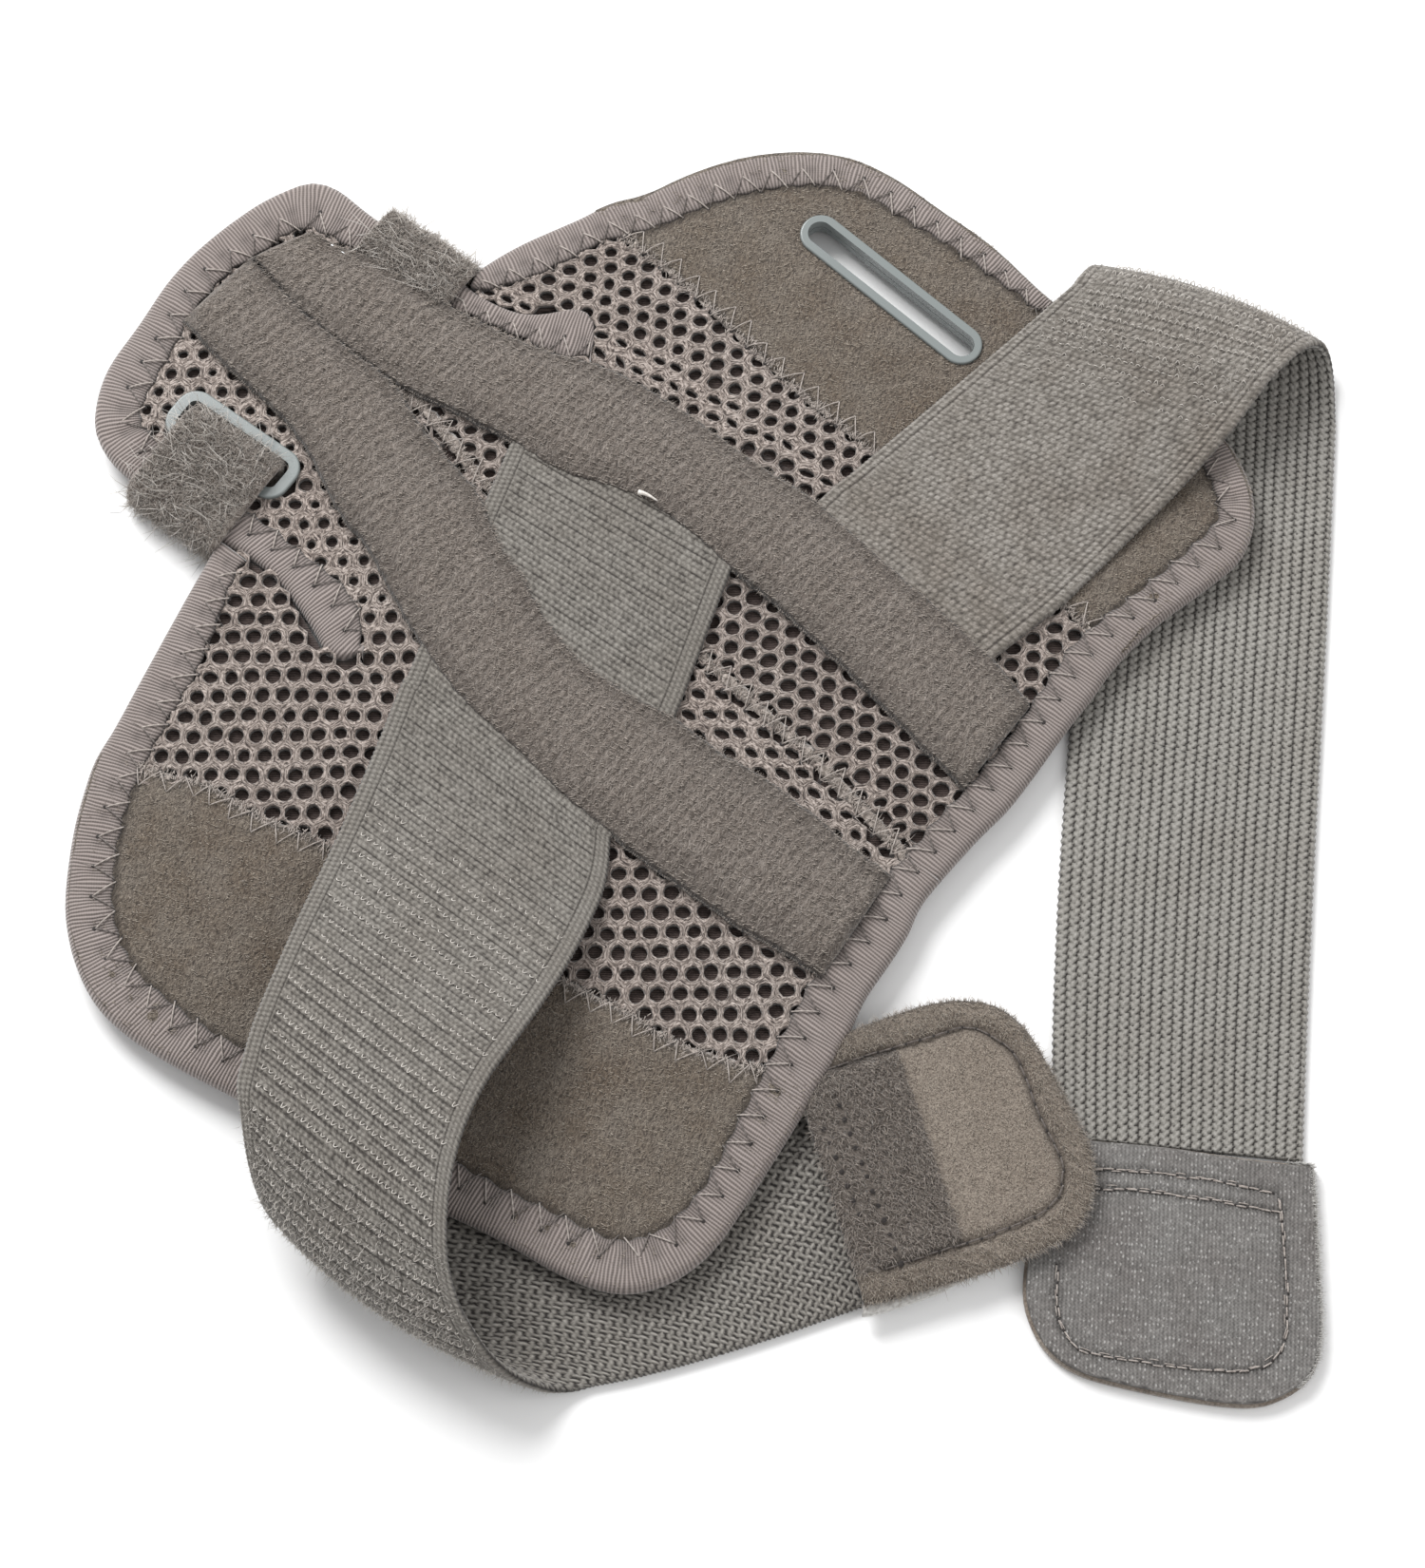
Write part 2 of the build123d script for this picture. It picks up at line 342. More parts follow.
# right stay pocket tape
RIGHT_POCKET = [[
    (39.25,142.12), (40.14,138.19), (41.04,134.26), (41.83,130.30), (42.33,126.30),
    (42.42,122.27), (42.34,118.24), (42.35,114.21), (42.41,110.18), (42.61,106.15),
    (43.02,102.14), (43.58,98.14), (44.12,94.15), (44.73,90.16), (45.71,86.25),
    (47.06,82.45), (48.39,78.64), (49.35,74.73), (49.97,70.75), (50.35,66.73),
    (50.54,62.70), (50.55,58.67), (50.45,54.64), (50.23,50.61), (49.92,46.59),
    (49.66,42.57), (49.51,38.54), (49.42,34.50), (49.39,30.47), (49.48,26.44),
    (49.47,22.41), (49.10,18.39), (48.49,14.41), (47.79,10.44), (47.07,6.47),
    (46.40,2.49), (45.79,-1.49), (45.18,-5.48), (44.56,-9.47), (43.88,-13.44),
    (43.18,-17.41), (42.45,-21.38), (41.67,-25.34), (40.79,-29.27), (39.71,-33.16),
    (38.43,-36.98), (37.12,-40.79),
], [
    (14.43,-39.65), (15.33,-35.77), (16.23,-31.89), (17.13,-28.01), (18.02,-24.13),
    (18.91,-20.25), (19.80,-16.37), (20.69,-12.49), (21.56,-8.61), (22.40,-4.72),
    (23.18,-0.82), (23.93,3.09), (24.64,7.01), (25.31,10.93), (25.92,14.87),
    (26.42,18.82), (26.85,22.77), (27.32,26.73), (27.89,30.67), (28.50,34.60),
    (29.02,38.55), (29.38,42.51), (29.61,46.48), (29.57,50.46), (28.96,54.39),
    (27.82,58.20), (26.61,61.99), (25.45,65.80), (24.75,69.72), (24.60,73.69),
    (24.64,77.67), (24.61,81.65), (24.44,85.63), (24.16,89.60), (23.75,93.56),
    (23.18,97.50), (22.60,101.44), (22.06,105.38), (21.79,109.35), (21.90,113.33),
    (22.18,117.30), (22.50,121.27), (22.79,125.24), (23.14,129.20), (23.66,133.15),
    (24.43,137.05), (25.38,140.92), (26.39,144.77), (27.39,148.62),
]]
# left stay pocket tape
LEFT_POCKET = [[
    (27.00,148.72), (25.99,144.82), (24.96,140.91), (24.01,137.00), (23.24,133.04),
    (22.74,129.04), (22.40,125.02), (22.09,121.00), (21.79,116.97), (21.50,112.95),
    (20.89,108.97), (19.50,105.19), (17.78,101.55), (16.25,97.82), (14.87,94.03),
    (13.77,90.15), (12.80,86.23), (11.63,82.37), (10.08,78.66), (8.05,75.17),
    (5.78,71.84), (3.71,68.38), (2.21,64.64), (0.72,60.89), (-1.28,57.40),
    (-3.22,53.86), (-4.76,50.13), (-6.07,46.32), (-7.18,42.44), (-7.93,38.48),
    (-8.16,34.46), (-8.03,30.43), (-7.73,26.41), (-7.30,22.40), (-7.03,18.38),
    (-7.14,14.35), (-7.51,10.33), (-7.78,6.31), (-7.70,2.28), (-7.41,-1.75),
    (-7.27,-5.78), (-7.43,-9.81), (-7.76,-13.83), (-8.14,-17.84), (-8.59,-21.85),
    (-9.07,-25.85), (-9.46,-29.87), (-9.64,-33.89), (-9.71,-37.93),
], [
    (-35.25,-38.66), (-35.24,-34.63), (-35.26,-30.59), (-35.45,-26.56), (-35.87,-22.54),
    (-36.02,-18.51), (-35.96,-14.47), (-35.83,-10.44), (-35.69,-6.40), (-35.58,-2.37),
    (-35.48,1.67), (-35.34,5.70), (-35.06,9.73), (-34.62,13.74), (-34.18,17.76),
    (-33.93,21.79), (-33.59,25.81), (-32.88,29.78), (-31.98,33.72), (-31.12,37.66),
    (-30.46,41.64), (-29.88,45.64), (-29.25,49.63), (-28.51,53.59), (-27.48,57.50),
    (-26.19,61.32), (-24.77,65.10), (-23.28,68.85), (-21.70,72.57), (-19.93,76.20),
    (-18.08,79.78), (-16.19,83.35), (-14.31,86.92), (-12.53,90.55), (-11.06,94.30),
    (-9.91,98.17), (-8.50,101.95), (-6.62,105.53), (-4.55,108.99), (-2.54,112.49),
    (-0.80,116.13), (0.55,119.93), (1.63,123.82), (2.56,127.75), (3.31,131.72),
    (3.87,135.72), (4.50,139.70), (5.32,143.66), (6.21,147.59), (7.11,151.53),
]]
# tunnel inside the right pocket
RIGHT_CAVITY = [[
    (37.91,138.75), (38.77,134.97), (39.57,131.18), (40.13,127.35), (40.34,123.48),
    (40.32,119.60), (40.30,115.72), (40.34,111.85), (40.47,107.97), (40.76,104.10),
    (41.22,100.25), (41.75,96.41), (42.29,92.57), (42.97,88.76), (43.99,85.02),
    (45.26,81.36), (46.49,77.68), (47.39,73.91), (47.97,70.08), (48.32,66.22),
    (48.49,62.34), (48.50,58.47), (48.40,54.59), (48.18,50.72), (47.88,46.85),
    (47.63,42.98), (47.48,39.11), (47.39,35.23), (47.34,31.35), (47.41,27.48),
    (47.43,23.60), (47.17,19.73), (46.64,15.89), (45.99,12.07), (45.31,8.25),
    (44.65,4.43), (44.04,0.60), (43.45,-3.23), (42.86,-7.07), (42.24,-10.89),
    (41.58,-14.71), (40.89,-18.53), (40.17,-22.34), (39.39,-26.14), (38.48,-29.91),
    (37.39,-33.63), (36.15,-37.30),
], [
    (17.06,-37.17), (17.93,-33.42), (18.80,-29.66), (19.66,-25.91), (20.53,-22.15),
    (21.39,-18.40), (22.25,-14.64), (23.10,-10.88), (23.93,-7.12), (24.71,-3.34),
    (25.46,0.44), (26.17,4.23), (26.84,8.02), (27.47,11.82), (28.03,15.64),
    (28.50,19.46), (28.92,23.29), (29.40,27.12), (29.96,30.93), (30.53,34.74),
    (31.02,38.57), (31.38,42.40), (31.60,46.25), (31.59,50.10), (31.11,53.93),
    (30.09,57.65), (28.93,61.32), (27.77,64.99), (26.92,68.75), (26.63,72.59),
    (26.63,76.44), (26.63,80.30), (26.51,84.15), (26.28,88.00), (25.94,91.84),
    (25.47,95.66), (24.91,99.48), (24.36,103.29), (23.95,107.12), (23.84,110.97),
    (24.01,114.82), (24.30,118.66), (24.60,122.50), (24.90,126.35), (25.29,130.18),
    (25.87,133.99), (26.67,137.76), (27.60,141.50), (28.57,145.23),
]]
# tunnel inside the left pocket
LEFT_CAVITY = [[
    (24.31,146.31), (23.34,142.60), (22.41,138.87), (21.61,135.12), (21.01,131.33),
    (20.60,127.52), (20.29,123.70), (20.00,119.87), (19.72,116.04), (19.36,112.23),
    (18.56,108.49), (17.16,104.93), (15.58,101.44), (14.14,97.88), (12.88,94.26),
    (11.82,90.57), (10.87,86.85), (9.75,83.19), (8.29,79.65), (6.39,76.31),
    (4.26,73.12), (2.26,69.86), (0.69,66.35), (-0.64,62.76), (-2.43,59.36),
    (-4.35,56.04), (-5.96,52.56), (-7.30,48.97), (-8.46,45.31), (-9.41,41.59),
    (-9.98,37.80), (-10.12,33.97), (-10.01,30.14), (-9.71,26.31), (-9.33,22.50),
    (-9.08,18.67), (-9.15,14.84), (-9.45,11.01), (-9.71,7.19), (-9.72,3.35),
    (-9.51,-0.48), (-9.33,-4.31), (-9.37,-8.14), (-9.61,-11.97), (-9.95,-15.79),
    (-10.35,-19.61), (-10.79,-23.42), (-11.22,-27.23), (-11.52,-31.05), (-11.66,-34.89),
], [
    (-33.19,-35.66), (-33.20,-31.76), (-33.34,-27.85), (-33.67,-23.97), (-33.91,-20.07),
    (-33.93,-16.17), (-33.84,-12.26), (-33.71,-8.36), (-33.59,-4.46), (-33.48,-0.55),
    (-33.37,3.35), (-33.18,7.25), (-32.85,11.14), (-32.42,15.02), (-32.06,18.91),
    (-31.79,22.80), (-31.36,26.68), (-30.61,30.51), (-29.75,34.32), (-28.96,38.14),
    (-28.34,42.00), (-27.77,45.86), (-27.15,49.72), (-26.41,53.55), (-25.39,57.32),
    (-24.12,61.01), (-22.73,64.66), (-21.29,68.29), (-19.75,71.88), (-18.04,75.39),
    (-16.25,78.86), (-14.42,82.31), (-12.60,85.77), (-10.88,89.27), (-9.42,92.89),
    (-8.23,96.61), (-6.92,100.28), (-5.21,103.79), (-3.26,107.17), (-1.30,110.54),
    (0.46,114.03), (1.92,117.64), (3.08,121.37), (4.05,125.15), (4.88,128.97),
    (5.53,132.81), (6.10,136.68), (6.77,140.53), (7.58,144.34), (8.44,148.15),
]]
RIGHT_STAY = [[
    (38.14,137.25), (37.94,131.33), (37.71,125.41), (37.48,119.55), (37.37,113.78),
    (37.47,108.10), (37.88,102.49), (38.61,96.85), (39.55,91.12), (40.58,85.27),
    (41.48,79.28), (42.17,73.28), (42.76,67.40), (43.41,61.54), (44.06,55.55),
    (44.45,49.37), (44.44,43.20), (44.18,37.14), (43.78,31.15), (43.30,25.16),
    (42.69,19.15), (41.89,13.16), (40.97,7.24), (39.97,1.36), (38.94,-4.50),
    (37.84,-10.36), (36.69,-16.22), (35.46,-22.07), (34.15,-27.90), (32.77,-33.68),
], [
    (23.05,-31.36), (24.41,-25.64), (25.69,-19.94), (26.89,-14.22), (28.02,-8.48),
    (29.10,-2.72), (30.12,3.06), (31.10,8.84), (32.00,14.60), (32.76,20.32),
    (33.34,26.07), (33.81,31.87), (34.19,37.68), (34.44,43.42), (34.45,49.07),
    (34.10,54.69), (33.47,60.45), (32.81,66.34), (32.23,72.22), (31.57,77.96),
    (30.71,83.66), (29.69,89.45), (28.72,95.40), (27.93,101.48), (27.48,107.65),
    (27.37,113.79), (27.49,119.84), (27.72,125.79), (27.94,131.69), (28.14,137.58),
]]
LEFT_STAY = [[
    (20.12,141.42), (19.03,135.60), (18.04,129.78), (17.06,123.84), (15.88,117.74),
    (14.23,111.60), (12.07,105.68), (9.72,100.11), (7.55,94.68), (5.47,89.11),
    (3.23,83.38), (0.63,77.75), (-2.09,72.36), (-4.69,67.12), (-7.07,61.85),
    (-9.25,56.51), (-11.18,51.17), (-12.71,45.78), (-13.84,40.26), (-14.67,34.62),
    (-15.21,28.92), (-15.52,23.10), (-15.78,17.14), (-16.09,11.18), (-16.36,5.30),
    (-16.49,-0.59), (-16.59,-6.58), (-16.78,-12.59), (-17.01,-18.55), (-17.20,-24.47),
    (-17.34,-30.41),
], [
    (-27.34,-30.18), (-27.20,-24.20), (-27.01,-18.20), (-26.77,-12.24), (-26.59,-6.34),
    (-26.49,-0.40), (-26.36,5.64), (-26.08,11.67), (-25.77,17.62), (-25.50,23.57),
    (-25.19,29.66), (-24.59,35.83), (-23.69,41.99), (-22.42,48.15), (-20.70,54.23),
    (-18.59,60.10), (-16.25,65.80), (-13.73,71.40), (-11.03,76.84), (-8.37,82.10),
    (-5.97,87.30), (-3.87,92.67), (-1.78,98.28), (0.47,103.92), (2.77,109.34),
    (4.70,114.61), (6.14,119.99), (7.22,125.59), (8.17,131.42), (9.18,137.36),
    (10.29,143.26),
]]
# right pocket with clearance
RIGHT_POCKET_CLEAR = [[
    (39.53,142.90), (40.58,138.28), (41.48,134.34), (42.28,130.38), (42.78,126.38),
    (42.87,122.34), (42.79,118.31), (42.80,114.27), (42.86,110.23), (43.05,106.20),
    (43.47,102.18), (44.03,98.18), (44.57,94.18), (45.18,90.19), (46.17,86.28),
    (47.53,82.47), (48.85,78.66), (49.81,74.74), (50.42,70.75), (50.80,66.73),
    (50.99,62.69), (51.00,58.66), (50.90,54.62), (50.67,50.59), (50.37,46.56),
    (50.11,42.53), (49.96,38.50), (49.87,34.46), (49.84,30.42), (49.93,26.38),
    (49.92,22.35), (49.55,18.33), (48.93,14.34), (48.23,10.36), (47.52,6.39),
    (46.85,2.40), (46.23,-1.59), (45.62,-5.58), (44.99,-9.57), (44.32,-13.55),
    (43.62,-17.53), (42.89,-21.50), (42.10,-25.46), (41.22,-29.40), (40.14,-33.29),
    (38.86,-37.12), (37.32,-41.60),
], [
    (13.79,-40.22), (14.84,-35.66), (15.74,-31.78), (16.64,-27.90), (17.53,-24.02),
    (18.42,-20.14), (19.31,-16.26), (20.20,-12.38), (21.08,-8.50), (21.91,-4.60),
    (22.70,-0.70), (23.44,3.21), (24.15,7.13), (24.82,11.05), (25.43,14.98),
    (25.93,18.93), (26.36,22.89), (26.83,26.84), (27.40,30.78), (28.01,34.72),
    (28.53,38.66), (28.89,42.63), (29.12,46.60), (29.06,50.58), (28.42,54.50),
    (27.26,58.31), (26.05,62.10), (24.91,65.92), (24.24,69.83), (24.10,73.81),
    (24.14,77.79), (24.11,81.77), (23.93,85.75), (23.64,89.72), (23.23,93.68),
    (22.66,97.62), (22.08,101.56), (21.54,105.50), (21.29,109.47), (21.40,113.45),
    (21.69,117.42), (22.01,121.39), (22.30,125.36), (22.65,129.32), (23.18,133.27),
    (23.95,137.17), (24.89,141.04), (25.90,144.89), (27.08,149.42),
]]
# left pocket with clearance
LEFT_POCKET_CLEAR = [[
    (27.66,149.28), (26.47,144.70), (25.45,140.80), (24.50,136.88), (23.73,132.92),
    (23.23,128.92), (22.89,124.91), (22.58,120.89), (22.29,116.87), (21.99,112.85),
    (21.38,108.87), (20.00,105.09), (18.28,101.45), (16.75,97.72), (15.36,93.94),
    (14.26,90.06), (13.29,86.15), (12.13,82.29), (10.59,78.57), (8.58,75.07),
    (6.32,71.74), (4.23,68.30), (2.72,64.56), (1.24,60.82), (-0.75,57.31),
    (-2.70,53.79), (-4.25,50.07), (-5.57,46.26), (-6.68,42.39), (-7.44,38.43),
    (-7.66,34.41), (-7.53,30.38), (-7.22,26.36), (-6.79,22.35), (-6.53,18.33),
    (-6.64,14.30), (-7.01,10.29), (-7.28,6.27), (-7.20,2.24), (-6.91,-1.78),
    (-6.77,-5.81), (-6.93,-9.83), (-7.26,-13.85), (-7.64,-17.86), (-8.08,-21.87),
    (-8.57,-25.87), (-8.96,-29.88), (-9.14,-33.91), (-9.23,-38.64),
], [
    (-35.70,-39.36), (-35.69,-34.62), (-35.71,-30.58), (-35.91,-26.55), (-36.32,-22.53),
    (-36.47,-18.50), (-36.41,-14.46), (-36.28,-10.42), (-36.14,-6.39), (-36.03,-2.35),
    (-35.93,1.69), (-35.79,5.73), (-35.51,9.76), (-35.07,13.77), (-34.63,17.79),
    (-34.38,21.82), (-34.04,25.84), (-33.33,29.82), (-32.43,33.75), (-31.57,37.70),
    (-30.91,41.68), (-30.33,45.68), (-29.70,49.67), (-28.96,53.64), (-27.94,57.55),
    (-26.65,61.37), (-25.23,65.16), (-23.74,68.91), (-22.17,72.63), (-20.41,76.27),
    (-18.55,79.86), (-16.66,83.42), (-14.77,87.00), (-12.99,90.62), (-11.51,94.37),
    (-10.35,98.24), (-8.96,102.03), (-7.09,105.61), (-5.02,109.08), (-3.00,112.58),
    (-1.25,116.22), (0.11,120.02), (1.19,123.91), (2.11,127.84), (2.87,131.81),
    (3.43,135.81), (4.06,139.80), (4.88,143.75), (5.77,147.69), (6.83,152.31),
]]
# everything right of the centre seam
HALF_RIGHT = [[
    (41.56,168.96), (29.15,143.21), (20.39,113.01), (20.48,109.08), (20.40,105.12),
    (19.83,101.19), (18.89,97.33), (17.78,93.53), (16.51,89.77), (15.08,86.08),
    (13.80,82.34), (12.85,78.51), (12.16,74.61), (11.61,70.70), (11.15,66.77),
    (10.77,62.83), (10.48,58.88), (10.35,54.93), (10.31,50.97), (10.27,47.01),
    (10.12,43.05), (9.80,39.10), (9.34,35.16), (8.78,31.24), (8.17,27.32),
    (7.53,23.41), (6.89,19.51), (6.24,15.60), (5.55,11.70), (4.84,7.80),
    (4.14,3.91), (3.47,0.01), (2.82,-3.90), (2.15,-7.81), (1.43,-11.70),
    (0.63,-15.58), (-0.25,-19.44), (-1.19,-23.29), (-2.16,-27.13), (-3.16,-30.96),
    (-4.18,-34.79), (-5.28,-38.60), (-6.61,-42.32), (-9.24,-54.43),
], (21.13,-145.31), (203.11,-33.37), (93.33,165.46)]
# everything left of the centre seam
HALF_LEFT = [[
    (41.35,169.07), (28.93,143.30), (20.16,113.07), (20.24,109.08), (20.16,105.14),
    (19.59,101.23), (18.65,97.40), (17.55,93.60), (16.28,89.85), (14.86,86.16),
    (13.57,82.41), (12.62,78.56), (11.92,74.65), (11.37,70.73), (10.91,66.79),
    (10.53,62.85), (10.24,58.89), (10.11,54.93), (10.07,50.97), (10.03,47.01),
    (9.88,43.06), (9.57,39.12), (9.10,35.19), (8.54,31.27), (7.93,27.36),
    (7.29,23.45), (6.66,19.55), (6.00,15.64), (5.31,11.74), (4.60,7.85),
    (3.90,3.95), (3.23,0.05), (2.58,-3.86), (1.92,-7.76), (1.20,-11.66),
    (0.40,-15.53), (-0.49,-19.39), (-1.42,-23.23), (-2.40,-27.07), (-3.39,-30.90),
    (-4.41,-34.73), (-5.50,-38.53), (-6.85,-42.26), (-9.48,-54.38),
], (-91.29,-84.62), (-186.11,51.81), (27.76,218.92)]
# outboard of the right patch seam
RIGHT_PATCH_SIDE = [[
    (78.86,113.88), (76.45,88.99), (76.07,84.96), (75.67,80.94), (75.18,76.92),
    (74.57,72.92), (73.88,68.93), (73.14,64.95), (72.34,60.98), (71.50,57.02),
    (70.66,53.07), (69.83,49.11), (69.00,45.15), (68.20,41.18), (67.49,37.21),
    (66.94,33.20), (66.51,29.18), (66.11,25.16), (65.70,21.13), (65.19,17.12),
    (64.63,13.11), (64.06,9.10), (63.49,5.10), (62.95,1.09), (62.44,-2.92),
    (62.01,-6.94), (61.65,-10.97), (61.35,-15.00), (61.05,-19.04), (60.69,-23.07),
    (60.19,-27.09), (59.52,-31.08), (58.75,-35.06), (58.00,-39.03), (57.23,-43.00),
    (52.47,-67.55),
], (161.32,-83.38), (187.71,98.04)]
# inboard of the right patch seam
RIGHT_MESH_SIDE = [[
    (78.62,113.90), (76.22,89.01), (75.83,84.99), (75.43,80.96), (74.94,76.95),
    (74.33,72.95), (73.64,68.97), (72.90,65.00), (72.11,61.03), (71.27,57.07),
    (70.43,53.12), (69.60,49.16), (68.77,45.20), (67.97,41.23), (67.25,37.24),
    (66.70,33.23), (66.27,29.21), (65.87,25.18), (65.46,21.16), (64.95,17.15),
    (64.39,13.14), (63.82,9.14), (63.25,5.13), (62.71,1.12), (62.20,-2.89),
    (61.77,-6.92), (61.41,-10.95), (61.11,-14.99), (60.81,-19.02), (60.45,-23.04),
    (59.95,-27.05), (59.28,-31.04), (58.51,-35.01), (57.76,-38.99), (56.99,-42.96),
    (52.23,-67.50),
], (-56.62,-51.67), (-30.24,129.73)]
# outboard of the left patch seam
LEFT_PATCH_SIDE = [[
    (-86.22,125.26), (-78.87,101.37), (-77.69,97.53), (-76.45,93.72), (-74.99,89.98),
    (-74.01,86.12), (-73.74,82.13), (-73.59,78.13), (-73.18,74.13), (-72.47,70.18),
    (-71.63,66.25), (-70.82,62.33), (-70.16,58.37), (-69.67,54.40), (-69.28,50.41),
    (-68.95,46.41), (-68.66,42.41), (-68.40,38.41), (-68.18,34.41), (-68.00,30.40),
    (-67.85,26.40), (-67.71,22.39), (-67.55,18.38), (-67.35,14.37), (-67.12,10.37),
    (-66.85,6.36), (-66.49,2.37), (-65.98,-1.62), (-65.36,-5.58), (-64.80,-9.54),
    (-64.54,-13.54), (-64.57,-17.55), (-64.36,-21.56), (-63.69,-25.52), (-62.75,-29.43),
    (-61.57,-33.27), (-60.06,-36.99), (-58.44,-40.66), (-48.31,-63.52),
], (-156.16,-85.18), (-194.07,103.61)]
# inboard of the left patch seam
LEFT_MESH_SIDE = [[
    (-85.99,125.33), (-78.64,101.44), (-77.46,97.61), (-76.22,93.80), (-74.76,90.06),
    (-73.78,86.16), (-73.50,82.15), (-73.35,78.14), (-72.94,74.16), (-72.23,70.22),
    (-71.39,66.30), (-70.59,62.37), (-69.92,58.41), (-69.43,54.43), (-69.04,50.43),
    (-68.71,46.43), (-68.43,42.43), (-68.16,38.43), (-67.94,34.42), (-67.76,30.41),
    (-67.61,26.41), (-67.47,22.40), (-67.31,18.39), (-67.11,14.39), (-66.88,10.38),
    (-66.61,6.38), (-66.25,2.39), (-65.75,-1.58), (-65.13,-5.54), (-64.56,-9.52),
    (-64.30,-13.53), (-64.33,-17.54), (-64.12,-21.53), (-63.46,-25.48), (-62.52,-29.37),
    (-61.34,-33.19), (-59.84,-36.90), (-58.22,-40.57), (-48.09,-63.43),
], (59.75,-41.77), (21.86,146.99)]
# sewn root of strap 1 under the right pocket, then the same with clearance
STRAP_1_ROOT = [(28.69,22.95), (52.47,18.74), (54.99,-34.22), (19.89,-24.24)]
STRAP_1_CLEAR = [(28.41,23.35), (52.80,19.03), (55.36,-34.69), (19.49,-24.49)]
# sewn root of strap 2 under both pockets, then the same with clearance
STRAP_2_ROOT = [[
    (38.27,83.26), (23.17,79.76), (9.28,76.32), (-10.85,71.67), (-25.76,68.05),
    (-31.97,66.46),
], [
    (-35.75,12.23), (-22.71,14.33), (-7.57,16.71), (9.08,21.23), (25.93,25.80),
    (42.11,29.82),
]]
STRAP_2_CLEAR = [[
    (38.59,83.69), (23.09,80.10), (9.19,76.66), (-10.93,72.01), (-25.85,68.39),
    (-32.30,66.73),
], [
    (-36.13,11.81), (-22.66,13.99), (-7.49,16.37), (9.17,20.89), (26.02,25.46),
    (42.48,29.55),
]]
# return runs of the straps on the floor
STRAP_1_LOWER = [[
    (120.02,-2.87), (113.27,-6.88), (106.52,-10.89), (99.77,-14.90), (93.00,-18.90),
    (86.23,-22.87), (79.43,-26.81), (72.62,-30.72), (65.80,-34.61), (58.97,-38.50),
    (52.14,-42.37), (45.30,-46.24), (38.45,-50.08), (31.59,-53.90), (24.73,-57.73),
    (17.90,-61.60), (11.10,-65.53), (4.32,-69.50), (-2.43,-73.51), (-9.16,-77.56),
    (-15.86,-81.66), (-22.50,-85.86), (-29.05,-90.20), (-35.58,-94.57),
], [
    (-11.79,-137.65), (-4.86,-133.60), (2.07,-129.55), (9.02,-125.52), (15.97,-121.51),
    (22.94,-117.52), (29.91,-113.54), (36.89,-109.57), (43.87,-105.61), (50.87,-101.68),
    (57.87,-97.75), (64.88,-93.83), (71.88,-89.91), (78.89,-85.99), (85.89,-82.05),
    (92.87,-78.10), (99.86,-74.14), (106.83,-70.16), (113.80,-66.18), (120.77,-62.19),
    (127.74,-58.21),
]]
STRAP_2_LOWER = [[
    (-128.91,-48.26), (-123.24,-53.77), (-117.25,-58.93), (-111.11,-63.91),
    (-104.88,-68.78), (-98.54,-73.51), (-92.11,-78.12), (-85.68,-82.71),
], [
    (-52.19,-45.18), (-58.38,-40.76), (-64.57,-36.34), (-70.73,-31.88), (-76.79,-27.28),
    (-82.74,-22.54), (-88.57,-17.65), (-94.07,-12.40),
]]
# end of strap 2 under its tab
STRAP_2_END = [(-85.20,-83.08), (-78.88,-87.98), (-45.39,-50.45), (-51.71,-45.55)]
# hook tape of each tab
TAB_1_HOOK = [[
    (-36.83,-93.96), (-34.25,-98.59), (-31.32,-103.75), (-28.38,-108.89), (-25.53,-114.06),
    (-22.91,-119.35), (-20.41,-124.73), (-17.74,-130.05), (-14.89,-135.26),
    (-12.31,-139.91),
], [
    (-12.31,-139.91), (-14.22,-141.30), (-16.63,-143.06), (-19.04,-144.81),
    (-21.46,-146.53), (-23.90,-148.24), (-26.34,-149.94), (-28.80,-151.63),
    (-31.25,-153.33), (-33.69,-155.03), (-36.14,-156.72), (-38.62,-158.31),
    (-41.17,-159.74), (-43.80,-160.89), (-46.54,-161.48), (-49.32,-161.30),
    (-52.00,-160.42), (-54.51,-159.03), (-56.83,-157.36), (-58.74,-155.25),
    (-60.34,-152.83), (-61.80,-150.27), (-63.14,-147.64), (-64.41,-144.96),
    (-65.63,-142.26), (-66.81,-139.53), (-67.96,-136.79), (-69.07,-134.03),
    (-70.16,-131.27), (-71.18,-128.50), (-72.01,-125.70), (-72.49,-122.87),
    (-72.50,-120.01), (-72.00,-117.21), (-70.95,-114.57), (-69.45,-112.11),
    (-67.69,-109.83), (-65.56,-107.93), (-63.13,-106.35), (-60.54,-104.94),
    (-57.90,-103.59), (-55.24,-102.25), (-52.58,-100.94), (-49.89,-99.66), (-47.19,-98.42),
    (-44.47,-97.22), (-41.74,-96.05), (-39.00,-94.88), (-36.83,-93.96),
]]
